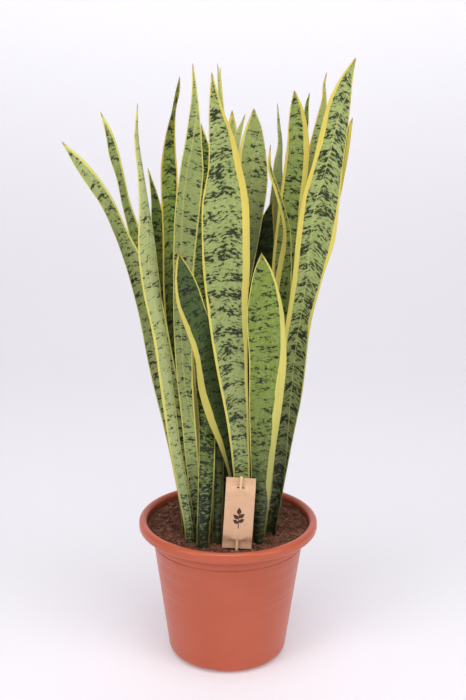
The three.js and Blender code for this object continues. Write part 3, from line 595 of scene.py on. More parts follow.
# Stations run from the soil to the tip, in millimetres: aside and back from the root,
# height above the soil, width, and the direction in degrees that the hollow side faces.
# Left and right are the widths of the yellow margins, seen from the front, at heights
# above the soil. A streak is a pale line: its distance from the left margin and width.
# Below the first of its two shade heights a blade is painted darker, as painted shade
# where its neighbours keep the light from it, and above the second it has its full
# colour. The pitch is the distance between its rows of bands, where that isn't the
# usual one.
USUAL_PITCH = 14
LEAVES = {
    "left_outer": dict(
        rhizome="left", root=(-0.58, -0.26),
        stations=[(0, 0, 0, 13, 45), (-5, -5, 65, 18, 36), (-13, -11, 140, 26, 26),
                  (-26, -17, 211, 30, 22), (-39, -22, 281, 28, 26), (-54, -27, 324, 23, 42),
                  (-67, -31, 356, 20, 54), (-81, -35, 390, 18, 50), (-104, -39, 426, 14, 42),
                  (-124, -43, 454, 0, 40)],
        left=[(0, 0.8), (450, 0.8)], right=[(0, 0.8), (280, 1.5), (420, 2.6)], tone_and_shade=0.3, gold=0.0,
        bands=0.95, chevron=0.2, painted_shade=(-60, 60)),
    "left_back": dict(
        rhizome="left", root=(-0.53, -0.06),
        stations=[(0, 0, 0, 12, 20), (-11, 1, 95, 17, 15), (-26, 2, 179, 24, 12), (-40, 2, 260, 24, 16),
                  (-53, 3, 319, 18, 32), (-62, 5, 352, 16, 46), (-71, 6, 384, 14, 58),
                  (-75, 6, 406, 13, 54), (-81, 8, 430, 13, 36), (-86, 9, 453, 9, 30),
                  (-95, 10, 478, 0, 30)],
        left=[(0, 0.8), (450, 0.9)], right=[(0, 0.8), (330, 2.2)], tone_and_shade=0.5, gold=0.0, bands=0.95,
        chevron=0.1, painted_shade=(-40, 120)),
    "left_front": dict(
        rhizome="front", root=(-0.47, -0.65),
        stations=[(0, 0, 0, 13, 190), (-18, -11, 127, 15, 215), (-33, -23, 257, 18, 218),
                  (-40, -25, 303, 22, 216), (-43, -27, 333, 22, 218), (-45, -27, 363, 19, 220),
                  (-47, -27, 392, 14, 228), (-50, -25, 420, 9, 225), (-55, -21, 462, 5, 215),
                  (-54, -17, 494, 0, 210)],
        left=[(0, 1.2), (250, 2), (400, 0.8)], right=[(0, 1.8), (150, 1.2), (400, 0.6)], tone_and_shade=0.05,
        gold=0.1, bands=0.75, chevron=0.3, painted_shade=(-60, 20), streak=(9, 0.8)),
    "left_hidden": dict(
        rhizome="left", root=(-0.53, 0.07),
        stations=[(0, 0, 0, 12, 0), (-10, 4, 100, 18, 0), (-21, 10, 207, 24, 5), (-29, 17, 311, 23, 8),
                  (-35, 21, 350, 17, 15), (-39, 23, 382, 9, 20), (-46, 24, 414, 0, 20)],
        left=[(0, 0.8), (400, 0.8)], right=[(0, 0.8), (400, 0.8)], tone_and_shade=1.4, gold=0.1, bands=1.1,
        chevron=0.0, painted_shade=(200, 480)),
    "left_tall": dict(
        rhizome="left", root=(-0.38, -0.20),
        stations=[(0, 0, 0, 11, 0), (-7, 5, 60, 21, 0), (-12, 8, 102, 27, 0), (-19, 8, 197, 30, 0),
                  (-28, 3, 278, 24, 0), (-32, -1, 364, 18, 0), (-33, -1, 411, 18, 0),
                  (-33, -2, 442, 14, 20), (-31, -3, 466, 11, 45), (-28, -4, 484, 9, 64),
                  (-24, -5, 502, 7, 50), (-21, -6, 518, 0, 45)],
        left=[(0, 1), (420, 1.5), (500, 0.8)],
        right=[(0, 2), (150, 6), (210, 12), (300, 11), (340, 7), (390, 1.8), (500, 1)], tone_and_shade=1.0, gold=0.7,
        bands=1.1, chevron=0.45, painted_shade=(240, 380)),
    "front_left": dict(
        rhizome="front", root=(-0.39, -0.50),
        stations=[(0, 0, 0, 11, -5), (-8, -2, 114, 15, -8), (-14, -4, 191, 18, -8),
                  (-16, -6, 260, 21, -5), (-15, -8, 327, 23, 0), (-11, -8, 386, 26, 4),
                  (-7, -6, 421, 25, 4), (-5, -4, 452, 18, 0), (-4, -2, 480, 11, 0), (-4, 0, 503, 6, 0),
                  (-6, 2, 533, 0, 0)],
        left=[(0, 1), (500, 0.9)], right=[(0, 1.5), (300, 1.6), (500, 0.9)], tone_and_shade=0.4, gold=0.05,
        bands=0.85, chevron=0.15, painted_shade=(-150, 90), pitch=17, streak=(8, 1.5), streak_low=(15, 1.2)),
    "front_middle": dict(
        rhizome="front", root=(-0.32, -0.79),
        stations=[(0, 0, 0, 15, 180), (3, 3, 68, 18, 180), (4, 21, 133, 19, 180), (2, 36, 199, 26, 180),
                  (1, 46, 276, 28, 180), (1, 52, 353, 20, 180), (1, 54, 408, 13, 180),
                  (1, 54, 438, 10, 180), (-4, 54, 468, 0, 180)],
        left=[(0, 0.8), (400, 0.8)], right=[(0, 1.6), (400, 1)], tone_and_shade=1.3, gold=0.2, bands=1.25,
        chevron=0.1, painted_shade=(-80, 260)),
    "front_right": dict(
        rhizome="front", root=(-0.13, -0.69),
        stations=[(0, 0, 0, 11, 195), (0, 8, 58, 12, 192), (1, 20, 112, 14, 186), (5, 35, 167, 18, 180),
                  (11, 48, 239, 25, 176), (21, 58, 315, 34, 176), (29, 62, 365, 37, 180),
                  (35, 64, 405, 34, 180), (35, 66, 438, 28, 180), (36, 68, 461, 18, 180),
                  (36, 68, 483, 0, 180)],
        left=[(0, 0.8), (320, 1.5), (370, 5), (430, 3.5), (480, 1.5)], right=[(0, 0.8), (480, 0.8)],
        tone_and_shade=0.45, gold=0.05, bands=0.8, chevron=0.1, painted_shade=(310, 440), pitch=16, streak=(17, 0.6)),
    "centre_broad": dict(
        rhizome="centre", root=(0.19, -0.59),
        stations=[(0, 0, 0, 15, 0), (-3, -6, 92, 19, 8), (-7, -9, 143, 24, 14), (-14, -16, 209, 34, 10),
                  (-19, -20, 277, 42, 2), (-21, -20, 334, 51, 0), (-22, -19, 385, 49, 0),
                  (-23, -17, 431, 34, 0), (-27, -16, 461, 26, -4), (-32, -14, 485, 16, -6),
                  (-37, -11, 525, 0, 0)],
        left=[(0, 1.5), (100, 2.2), (200, 2.8), (300, 2), (480, 1)],
        right=[(0, 1.2), (90, 1.8), (150, 2.6), (225, 3.8), (290, 6.6), (340, 7.6), (400, 7.6), (440, 6.8),
               (470, 3), (520, 1.3)],
        tone_and_shade=0.4, gold=0.35, bands=1.1, chevron=0.2, painted_shade=(-100, 20), pitch=21),
    "centre_curled": dict(
        rhizome="centre", root=(0.16, -0.43),
        stations=[(0, 0, 0, 14, 15), (-9, -8, 90, 18, 20), (-17, -14, 122, 23, 26),
                  (-26, -18, 153, 32, 32), (-34, -23, 190, 36, 30), (-39, -29, 230, 32, 26),
                  (-48, -35, 258, 29, 22), (-57, -44, 287, 29, 20), (-62, -50, 313, 22, 15),
                  (-68, -58, 345, 0, 10)],
        left=[(0, 1.5), (70, 2), (100, 4), (130, 7), (160, 10), (195, 9.5), (215, 7), (240, 6),
              (270, 5), (300, 3.2), (330, 1.8)],
        right=[(0, 1), (330, 1)], tone_and_shade=1.9, gold=0.35, bands=1.0, chevron=0.1, painted_shade=(-100, 380)),
    "centre_narrow": dict(
        rhizome="centre", root=(0.12, -0.07),
        stations=[(0, 0, 0, 11, 10), (-3, 16, 124, 15, 5), (-8, 26, 230, 17, 0), (-11, 32, 322, 16, 0),
                  (-11, 36, 379, 14, -10), (-8, 38, 418, 12, -20), (-3, 40, 447, 9, -30),
                  (5, 40, 474, 0, -30)],
        left=[(0, 0.9), (400, 0.9)], right=[(0, 0.9), (400, 0.9)], tone_and_shade=0.1, gold=0.1, bands=0.5,
        chevron=0.0, painted_shade=(150, 460)),
    "right_short": dict(
        rhizome="right", root=(0.40, -0.68),
        stations=[(0, 0, 0, 14, 190), (2, -6, 68, 22, 185), (3, -14, 131, 30, 180),
                  (5, -20, 180, 37, 180), (6, -26, 226, 41, 180), (3, -32, 266, 40, 180),
                  (1, -36, 300, 31, 180), (-1, -39, 325, 19, 180), (-3, -42, 346, 0, 180)],
        left=[(0, 1), (150, 1.2), (330, 1)],
        right=[(0, 0.8), (45, 1), (58, 3), (75, 6.5), (100, 7), (130, 6.6), (160, 9), (190, 9.6),
              (215, 8.6), (240, 6.2), (270, 4.8), (300, 3), (330, 1.4)],
        tone_and_shade=1.0, gold=0.15, bands=0.95, chevron=0.05, painted_shade=(20, 230), pitch=12.5),
    "right_slender": dict(
        rhizome="right", root=(0.40, -0.45),
        stations=[(0, 0, 0, 11, -15), (8, 12, 116, 16, -10), (16, 16, 197, 20, -10),
                  (21, 16, 265, 21, -5), (24, 18, 319, 17, 25), (25, 20, 354, 13, 50),
                  (20, 20, 377, 11, 58), (13, 20, 400, 9, 58), (6, 20, 422, 7, 52), (7, 20, 447, 0, 50)],
        left=[(0, 2), (200, 4), (330, 7), (400, 5), (440, 2)], right=[(0, 1.2), (440, 1)], tone_and_shade=0.9,
        gold=0.35, bands=1.0, chevron=0.1, painted_shade=(120, 400)),
    "right_tall": dict(
        rhizome="right", root=(0.57, -0.36),
        stations=[(0, 0, 0, 13, -20), (6, -4, 56, 15, -16), (12, -7, 118, 21, -14),
                  (19, -8, 183, 28, -14), (25, -8, 249, 28, -14), (35, -8, 308, 33, -15),
                  (43, -8, 356, 41, -10), (47, -6, 391, 40, -10), (53, -4, 427, 33, -10),
                  (58, -1, 458, 29, -10), (64, 2, 492, 23, -10), (71, 5, 517, 13, -10),
                  (80, 8, 539, 0, -10)],
        left=[(0, 1), (150, 2.6), (220, 4.6), (300, 5.2), (350, 5.6), (400, 3.8), (430, 3.8), (450, 5.6),
              (490, 3.8), (530, 1.3)],
        right=[(0, 0.6), (150, 0.8), (230, 1.5), (260, 3.4), (300, 1.8), (330, 3.6), (360, 4.2),
              (400, 1.5), (440, 0.8), (530, 0.7)],
        tone_and_shade=0.4, gold=0.3, bands=1.15, chevron=0.55, painted_shade=(20, 300), pitch=20, streak=(15, 0.8)),
    "right_inner": dict(
        rhizome="right", root=(0.41, -0.22),
        stations=[(0, 0, 0, 12, 5), (7, 11, 108, 17, 5), (15, 18, 184, 22, 5), (22, 23, 259, 27, 5),
                  (26, 26, 322, 29, 5), (30, 28, 372, 28, 5), (35, 30, 417, 27, 5), (37, 31, 445, 24, 5),
                  (36, 32, 469, 19, 0), (34, 33, 488, 11, 0), (32, 34, 502, 0, 0)],
        left=[(0, 1.5), (330, 3.4), (420, 3), (460, 1.2)],
        right=[(0, 1.5), (380, 5), (440, 6), (470, 4.2), (495, 1.5)], tone_and_shade=0.65, gold=0.3, bands=0.95,
        chevron=0.2, painted_shade=(180, 430)),
    "right_outer": dict(
        rhizome="right", root=(0.61, -0.19),
        stations=[(0, 0, 0, 12, -40), (10, 5, 108, 16, -30), (16, 7, 180, 18, -20),
                  (25, 9, 238, 19, -15), (34, 11, 290, 19, -10), (47, 13, 343, 20, -10),
                  (56, 15, 385, 20, -10), (63, 17, 420, 18, -10), (69, 19, 443, 13, -10),
                  (78, 21, 474, 0, -10)],
        left=[(0, 1.4), (440, 1.4)], right=[(0, 1.5), (330, 3.6), (440, 3.2)], tone_and_shade=0.5, gold=0.4,
        bands=0.9, chevron=0.1, painted_shade=(100, 330)),
    "right_curly": dict(
        rhizome="right", root=(0.56, -0.05),
        stations=[(0, 0, 0, 11, 0), (12, 10, 126, 15, 0), (20, 16, 221, 19, 0), (29, 20, 314, 21, 0),
                  (35, 22, 376, 20, 0), (41, 24, 420, 18, 0), (46, 24, 450, 14, 0), (50, 24, 475, 10, 0),
                  (52, 24, 494, 5, 0), (51.5, 24, 508, 3, 0), (54, 24, 521, 0, 0)],
        left=[(0, 1.5), (380, 4), (430, 2.5), (450, 1)], right=[(0, 1), (480, 0.6)], tone_and_shade=0.35,
        gold=0.6, bands=0.7, chevron=0.1, painted_shade=(100, 460)),
    "back_middle": dict(
        rhizome="back", root=(0.01, 0.20),
        stations=[(0, 0, 0, 12, 0), (-5, 12, 130, 17, 0), (-5, 24, 248, 20, 0), (-4, 32, 341, 21, 0),
                  (-2, 36, 398, 18, 0), (0, 38, 434, 15, 0), (0, 39, 458, 10, 0), (0, 40, 476, 0, 0)],
        left=[(0, 1.5), (430, 3)], right=[(0, 1.5), (430, 1.6)], tone_and_shade=0.3, gold=0.2, bands=0.7,
        chevron=0.1, painted_shade=(200, 460)),
    "back_shaded": dict(
        rhizome="back", root=(0.17, 0.11),
        stations=[(0, 0, 0, 12, 0), (9, 2, 70, 18, 0), (15, 6, 152, 26, 0), (18, 10, 244, 34, 0),
                  (20, 12, 306, 30, 0), (25, 14, 350, 19, 5), (32, 15, 381, 0, 10)],
        left=[(0, 0.8), (380, 0.8)], right=[(0, 1), (380, 1.2)], tone_and_shade=1.9, gold=0.9, bands=1.3,
        chevron=0.1, painted_shade=(300, 460)),
    "back_left": dict(
        rhizome="back", root=(0.15, 0.33),
        stations=[(0, 0, 0, 12, 0), (-3, 9, 138, 14, -5), (-9, 20, 257, 15, -8), (-16, 30, 361, 13, -12),
                  (-21, 38, 429, 10, -16), (-24, 42, 474, 7, -18), (-27, 45, 503, 4, -20),
                  (-29, 47, 526, 0, -20)],
        left=[(0, 0.8), (500, 0.7)], right=[(0, 0.8), (500, 0.7)], tone_and_shade=0.2, gold=0.1, bands=0.6,
        chevron=0.1, painted_shade=(200, 450)),
    "back_outer": dict(
        rhizome="back", root=(0.28, 0.34),
        stations=[(0, 0, 0, 11, 10), (-4, 20, 138, 13, 0), (-13, 40, 255, 14, -10),
                  (-23, 56, 358, 12, -20), (-31, 68, 427, 9, -25), (-35, 75, 470, 6, -25),
                  (-37, 79, 496, 4, -20), (-38, 82, 520, 0, -20)],
        left=[(0, 0.8), (500, 0.7)], right=[(0, 0.8), (500, 0.7)], tone_and_shade=0.2, gold=0.1, bands=0.6,
        chevron=0.1, painted_shade=(200, 450)),
    "back_grey": dict(
        rhizome="back", root=(0.35, 0.16),
        stations=[(0, 0, 0, 11, 170), (6, 12, 144, 15, 170), (13, 22, 262, 17, 170),
                  (19, 30, 348, 16, 175), (22, 34, 393, 13, 180), (23, 38, 418, 10, 190),
                  (25, 42, 438, 6, 200), (23, 44, 460, 4, 200), (21, 46, 484, 0, 200)],
        left=[(0, 0.8), (480, 0.6)], right=[(0, 0.8), (480, 0.6)], tone_and_shade=0.1, gold=0.1, bands=0.6,
        chevron=0.1, painted_shade=(200, 560)),
    "back_right": dict(
        rhizome="back", root=(0.49, 0.18),
        stations=[(0, 0, 0, 11, 10), (11, 8, 120, 13, 15), (20, 16, 215, 15, 20), (28, 22, 309, 15, 25),
                  (33, 26, 377, 12, 25), (37, 30, 433, 9, 25), (40, 32, 464, 7, 25),
                  (41, 33, 483, 5, 25), (44, 34, 497, 0, 25)],
        left=[(0, 0.8), (480, 0.6)], right=[(0, 0.8), (480, 0.6)], tone_and_shade=1.3, gold=0.1, bands=1.1,
        chevron=0.1, painted_shade=(300, 520)),
}


def smooth_through(places, values, level=False):
    """A smooth curve through values at places. With level it is flat where they turn."""
    places, values = np.asarray(places, float), np.asarray(values, float)
    rise = np.diff(values) / np.diff(places)
    spans = np.diff(places)
    slopes = np.empty(len(values))
    slopes[0], slopes[-1] = rise[0], rise[-1]
    for i in range(1, len(values) - 1):
        mean = (rise[i - 1] * spans[i] + rise[i] * spans[i - 1]) / (spans[i - 1] + spans[i])
        if level and rise[i - 1] * rise[i] <= 0:
            mean = 0
        elif level:
            mean = math.copysign(min(abs(mean), 2 * min(abs(rise[i - 1]), abs(rise[i]))), mean)
        slopes[i] = mean

    def curve(at):
        at = np.asarray(at, float)
        i = np.clip(np.searchsorted(places, at, side="right") - 1, 0, len(spans) - 1)
        t = (at - places[i]) / spans[i]
        a, b = values[i], values[i + 1]
        p, q = slopes[i] * spans[i], slopes[i + 1] * spans[i]
        return a + p * t + (3 * (b - a) - 2 * p - q) * t ** 2 + (p + q - 2 * (b - a)) * t ** 3

    return curve


def smooth_step(value, low, high):
    t = np.clip((value - low) / (high - low), 0, 1)
    return t * t * (3 - 2 * t)


def foot_on_rhizome(name, root):
    start, end, depth = RHIZOMES[name]
    start, end = np.array(start) * PLANTING_RADIUS, np.array(end) * PLANTING_RADIUS
    run = end - start
    share = np.clip(np.dot(root - start, run) / np.dot(run, run), 0, 1)
    nearest = start + share * run
    return np.append(nearest + FOOT_SPREAD * (root - nearest), SOIL_LEVEL - depth * MM)


def leaf_mesh(leaf, seed):
    stations = np.array(leaf["stations"], float)
    root = np.array(leaf["root"]) * PLANTING_RADIUS
    points = stations[:, :3] * MM + np.append(root, SOIL_LEVEL)
    points = np.vstack([foot_on_rhizome(leaf["rhizome"], root), points])
    widths = np.maximum(stations[:, 3], NARROWEST) * MM
    widths = np.append(0.9 * widths[0], widths)
    facings = np.radians(np.append(stations[0, 4], stations[:, 4]))
    places = np.append(0, np.cumsum(np.linalg.norm(np.diff(points, axis=0), axis=1)))
    length, soil_place = places[-1], places[1]
    axis = [smooth_through(places, points[:, k]) for k in range(3)]
    width_at = smooth_through(places, widths, level=True)
    facing_at = smooth_through(places, facings, level=True)

    rings = int(round(length / RING_SPACING))
    at = np.linspace(0, length, rings + 1)
    at = np.append(at[:-1], length - np.array(LAST_RINGS) * MM)
    rings = len(at)
    centre = np.stack([c(at) for c in axis], axis=1)
    step = 1 * MM
    along = np.stack([c(at + step) - c(at - step) for c in axis], axis=1)
    along /= np.linalg.norm(along, axis=1)[:, None]
    facing = facing_at(at)
    toward = np.stack([np.sin(facing), -np.cos(facing), 0 * facing], axis=1)
    across = np.cross(along, toward)
    across /= np.linalg.norm(across, axis=1)[:, None]
    hollow = np.cross(across, along)

    above = at - soil_place
    opening = smooth_step(above, 0, BLADE_START)
    narrowing = smooth_step(at / length, 0.7, 1)
    cup = FOOT_CUP + (BLADE_CUP - FOOT_CUP) * opening
    thick = FOOT_THICKNESS + (BLADE_THICKNESS - FOOT_THICKNESS) * opening
    thick = thick + (TIP_THICKNESS - thick) * narrowing
    width = width_at(at)
    end = np.clip((length - at) / TIP_ROUNDING, 0, 1) ** 0.5
    width = np.maximum(width * (0.25 + 0.75 * end), NARROWEST_SECTION)
    thick = thick * (0.3 + 0.7 * end)

    # The margins waver a little, as each leaf grew.
    phase = 2.1 * seed
    waver = np.stack([np.sin(above / 0.031 + phase + k) + 0.7 * np.sin(above / 0.0134 + 2 * phase + 3 * k)
                      for k in (0, 2.4)], axis=1)
    grown = smooth_step(above, WAVER_STARTS, WAVER_FULL)
    waver_height = WAVER_HEIGHT * grown * (1 - narrowing) * np.minimum(width / FULL_WAVER_WIDTH, 1)
    waver *= waver_height[:, None]
    width = width * (1 + SWELL * np.sin(above / 0.023 + 1.7 * seed) * grown)

    shares = np.sin(np.linspace(-0.5, 0.5, POINTS_ACROSS) * math.pi)
    section_points = [(s, 1) for s in shares] + [(s, -1) for s in shares[-2:0:-1]]
    margin = MARGIN_THICKNESS * np.minimum(1, thick / BLADE_THICKNESS)
    section = []
    for share, side in section_points:
        reach = share * width / 2
        lift = waver[:, 0] if share < 0 else waver[:, 1]
        sag = cup * width * share ** 2 + lift * share ** 4
        edge = math.sqrt(max(0.0, 1 - share ** 2))
        half = 0.5 * ((thick - margin) * (1 - share ** 2) + margin * edge)
        section.append(centre + across * reach[:, None] + hollow * (sag + half * side)[:, None])
    grid = np.stack(section, axis=1)
    count = grid.shape[1]
    vertices = grid.reshape(-1, 3)
    faces = rings_joined(rings, count)
    for start, turn in ((0, 1), ((rings - 1) * count, -1)):
        faces += [(start + i, start + i + 1, start + count - i - 1, start + (count - i) % count)[::-turn]
                  for i in range(1, count // 2 - 1)]
        faces += [(start, start + 1, start + count - 1)[::-turn]]
        middle = count // 2
        faces += [(start + middle - 1, start + middle, start + middle + 1)[::-turn]]

    share = np.array([s for s, _ in section_points])
    from_left = ((1 + share)[None, :] * width[:, None] / 2) / MM
    from_right = ((1 - share)[None, :] * width[:, None] / 2) / MM
    height = np.clip(centre[:, 2] - SOIL_LEVEL, 0, None) / MM

    def band(key):
        table = np.array(leaf[key], float)
        return np.interp(height, table[:, 0], table[:, 1])

    left, right = band("left"), band("right")
    turned_away = math.cos(math.radians(stations[len(stations) // 2, 4])) < 0
    if turned_away:
        left, right = right, left
    streak, streak_width = leaf.get("streak", (0, 0))
    low, low_width = leaf.get("streak_low", (streak, streak_width))
    fade = smooth_step(height, 120, 190)
    streak = low + (streak - low) * fade
    streak_half = (low_width + (streak_width - low_width) * fade) / 2
    measured = from_right if turned_away else from_left
    wide = np.ones_like(from_left)
    paint = {
        "across_mm": (from_left - from_right) / 2,
        "along_mm": above[:, None] / MM * wide,
        "inside_mm": np.minimum(from_left - left[:, None], from_right - right[:, None]),
        "margin_mm": np.minimum(from_left, from_right),
        "streak_mm": measured - streak[:, None],
        "streak_half": streak_half[:, None] * wide,
        "to_tip_mm": (length - at)[:, None] / MM * wide,
        "tone_and_shade": leaf["tone_and_shade"] * wide,
        "gold": leaf["gold"] * wide,
        "bands": leaf["bands"] * wide,
        "chevron": leaf["chevron"] * wide,
        "per_mm": wide / leaf.get("pitch", USUAL_PITCH),
        "painted_shade": (1 - smooth_step(height, *leaf["painted_shade"]))[:, None] * wide,
        "leaf_number": seed * wide,
    }
    return vertices, faces, {name: values.reshape(-1) for name, values in paint.items()}


def banded_leaf():
    w = Wiring("banded_leaf")
    across, along = w.attribute("across_mm"), w.attribute("along_mm")
    number = w.sum("MULTIPLY", w.attribute("leaf_number"), 37.3)
    here = w.vector(across, along, number)
    bands, tone_and_shade, gold = w.attribute("bands"), w.attribute("tone_and_shade"), w.attribute("gold")

    # Cross bands: short jagged dashes that gather in loose rows up the leaf. Slow noise
    # bends the rows, and on some leaves they are drawn into chevrons. Towards the foot
    # the dashes close up into a mottle with pale waves.
    slow = w.noise(w.stretched(here, (0.028, 0.014, 1)), 1, 1)
    bend = w.sum("MULTIPLY", w.sum("SUBTRACT", slow, 0.5), 15)
    rise = w.sum("MULTIPLY", w.sum("ABSOLUTE", across), w.attribute("chevron"))
    level = w.sum("ADD", w.sum("ADD", along, rise), bend)
    wave = w.sum("SINE", w.sum("MULTIPLY", w.sum("MULTIPLY", level, w.attribute("per_mm")), 2 * math.pi))
    bent = w.vector(across, level, number)
    dashes = w.noise(w.stretched(bent, (0.20, 0.40, 1)), 1, 4, 0.62)
    patch = w.noise(w.stretched(here, (0.07, 0.03, 1)), 1, 1)
    near_foot = w.step(along, 0, 120, 1, 0)
    strength = w.sum("ADD", dashes, w.sum("MULTIPLY", wave, 0.052))
    strength = w.sum("ADD", strength, w.sum("MULTIPLY", w.sum("SUBTRACT", patch, 0.5), 0.22))
    strength = w.sum("ADD", strength, w.sum("MULTIPLY", w.sum("SUBTRACT", bands, 1), 0.20))
    strength = w.sum("ADD", strength, w.sum("MULTIPLY", near_foot, 0.09))
    dark = w.step(strength, 0.558, 0.592)
    half_dark = w.step(strength, 0.455, 0.58, 0, 0.72)

    # Ground colour of the blade: grey-green or fresh green, streaked lengthwise. A tone
    # above 1 is painted shade: it turns the blade deep green, with darker marks and fewer
    # pale flecks, for blades deep in the clump.
    strand = w.noise(w.stretched(here, (1.7, 0.018, 1)), 1, 3, 0.6)
    cloud = w.noise(w.stretched(here, (0.05, 0.02, 1)), 1, 2)
    fleck = w.noise(w.stretched(here, (0.5, 0.35, 1)), 1, 3, 0.6)
    pale = w.mix(cloud, shade(180, 188, 126), shade(150, 162, 94))
    fresh = w.mix(cloud, shade(136, 154, 58), shade(106, 130, 36))
    shaded = w.mix(cloud, shade(72, 98, 24), shade(50, 74, 16))
    ground = w.mix(w.step(tone_and_shade, 0, 1), pale, fresh)
    ground = w.mix(w.step(tone_and_shade, 1, 1.9), ground, shaded)
    ground = w.mix(w.step(strand, 0.35, 0.7, 0, 0.20), ground, w.mix(0.4, ground, shade(206, 210, 160)))
    pale_fleck = w.sum("MULTIPLY", w.step(fleck, 0.50, 0.66, 0, 0.40), w.step(tone_and_shade, 0.9, 1.7, 1, 0.15))
    ground = w.mix(pale_fleck, ground, w.mix(0.5, ground, shade(206, 212, 168)))
    # Painted shade: the ground colour is darkened towards the foot, low in the clump.
    ground = w.mix(w.sum("MULTIPLY", near_foot, 0.70), ground, shade(72, 92, 46))
    inked = w.mix(w.step(tone_and_shade, 0, 1.5), shade(28, 40, 18), shade(14, 26, 6))
    green = w.mix(half_dark, ground, w.mix(0.55, ground, inked))
    green = w.mix(w.sum("MULTIPLY", dark, 0.96), green, inked)

    # Pale wavy blotches cross the dark mottle at the foot.
    blotch = w.sum("MULTIPLY", w.step(dashes, 0.405, 0.465, 1, 0), w.step(along, 40, 150, 0.8, 0))
    green = w.mix(blotch, green, shade(158, 172, 122))

    # Painted shade: low in the clump, where neighbours keep the light off, the green is darkened.
    painted_shade = w.attribute("painted_shade")
    green = w.mix(w.sum("MULTIPLY", painted_shade, 0.72), green, w.mix(0.80, green, shade(14, 20, 6)))

    # Yellow margins with a wavering inner edge and thin green lines in them.
    waver = w.noise(w.stretched(here, (0.1, 0.035, 1)), 1, 2)
    ragged = w.noise(w.stretched(here, (1.2, 0.16, 1)), 1, 3)
    inside = w.sum("ADD", w.attribute("inside_mm"), w.sum("MULTIPLY", w.sum("SUBTRACT", waver, 0.5), 2.0))
    inside = w.sum("ADD", inside, w.sum("MULTIPLY", w.sum("SUBTRACT", ragged, 0.5), 1.3))
    blade = w.step(inside, -0.25, 0.4)
    lemon = w.mix(cloud, shade(208, 204, 104), shade(228, 218, 118))
    golden = w.mix(cloud, shade(206, 168, 48), shade(230, 194, 66))
    ripe = w.sum("MULTIPLY", gold, w.step(along, 250, 450, 0.6, 1.5), clamp=True)
    yellow = w.mix(ripe, lemon, golden)
    yellow = w.mix(w.step(along, 30, 190, 0.6, 0), yellow, shade(140, 150, 78))
    lines = w.noise(w.stretched(here, (1.5, 0.006, 1)), 1, 2)
    yellow = w.mix(w.step(lines, 0.60, 0.68, 0, 0.5), yellow, shade(150, 168, 84))
    rim = w.step(w.attribute("margin_mm"), 0.1, 0.5, 0.25, 0)
    yellow = w.mix(rim, yellow, shade(176, 150, 70))
    colour = w.mix(blade, yellow, green)

    # One or two pale lines run up some of the blades.
    wander = w.sum("MULTIPLY", w.sum("SUBTRACT", waver, 0.5), 3)
    from_streak = w.sum("ABSOLUTE", w.sum("ADD", w.attribute("streak_mm"), wander))
    line = w.step(w.sum("SUBTRACT", from_streak, w.attribute("streak_half")), -0.2, 0.3, 1, 0)
    drawn = w.step(w.attribute("streak_half"), 0.05, 0.2)
    colour = w.mix(w.sum("MULTIPLY", w.sum("MULTIPLY", line, drawn), 0.6), colour, shade(190, 194, 118))

    # More painted shade low in the clump, over the margins and streaks too.
    colour = w.mix(w.sum("MULTIPLY", painted_shade, 0.25), colour, w.mix(0.80, colour, shade(24, 30, 8)))

    # The awl at the tip dries to brown. The foot is darkened next to the soil: painted shade deep in the
    # clump.
    colour = w.mix(w.step(w.attribute("to_tip_mm"), 2, 9, 0.85, 0), colour, shade(150, 112, 66))
    colour = w.mix(w.step(along, 0, 40, 0.5, 0), colour, shade(54, 56, 32))
    roughness = w.sum("ADD", 0.42, w.sum("MULTIPLY", strand, 0.16))
    normal = w.bump(strand, 0.22, 0.0006)
    normal = w.bump(dark, 0.10, 0.0002, after=normal)
    return w.finish(colour, roughness, normal, Specular_IOR_Level=0.32, Coat_Weight=0.05, Coat_Roughness=0.3)


waxy_leaf = banded_leaf()
for number, (name, leaf) in enumerate(LEAVES.items()):
    vertices, faces, paint = leaf_mesh(leaf, number + 1)
    blade = mesh_object(f"leaf_blade_{name}", vertices, faces, waxy_leaf)
    for layer, values in paint.items():
        paint_attribute(blade, layer, values)
    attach(blade, "root")
    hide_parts(f"leaf_{name}")

# ---------- the skewer ----------
# A split bamboo stick, rounded by hand, that is pushed into the soil by the front
# leaves and carries the label.

CARD_WIDTH = 33 * MM
CARD_HEIGHT = 85 * MM
CARD_THICKNESS = 0.6 * MM
CARD_CLEARANCE = 0.3 * MM
CARD_LEAN = math.radians(3)
CARD_ABOVE_SOIL = CARD_CLEARANCE + CARD_THICKNESS + CARD_WIDTH / 2 * math.sin(CARD_LEAN)
SKEWER_RADIUS = 1.5 * MM
SKEWER_ABOVE_CARD = 2.5 * MM
SKEWER_IN_SOIL = 50 * MM
SKEWER_POINT = 12 * MM
SHAFT_RINGS = 30
SKEWER_ASIDE = 9.7 * MM
SKEWER_FROM_RIM = 27 * MM

skewer_foot = np.array([SKEWER_ASIDE, SKEWER_FROM_RIM - RIM_RADIUS, SOIL_LEVEL])


def leaning(points):
    """Points given upright about the skewer's foot, leaned over to the right."""
    points = np.asarray(points, float)
    x, y, z = points[:, 0], points[:, 1], points[:, 2]
    cosine, sine = math.cos(CARD_LEAN), math.sin(CARD_LEAN)
    return np.stack([x * cosine + z * sine, y, z * cosine - x * sine], axis=1) + skewer_foot


def bamboo():
    w = Wiring("split_bamboo")
    place = w.place()
    grain = w.noise(w.stretched(place, (1, 1, 0.03)), 1400, 3, 0.6)
    colour = w.mix(grain, shade(214, 178, 124), shade(246, 226, 182))
    colour = w.mix(w.step(w.noise(place, 60, 2), 0.55, 0.7, 0, 0.4), colour, shade(226, 196, 142))
    return w.finish(colour, 0.62, w.bump(grain, 0.35, 0.0003), Specular_IOR_Level=0.35)


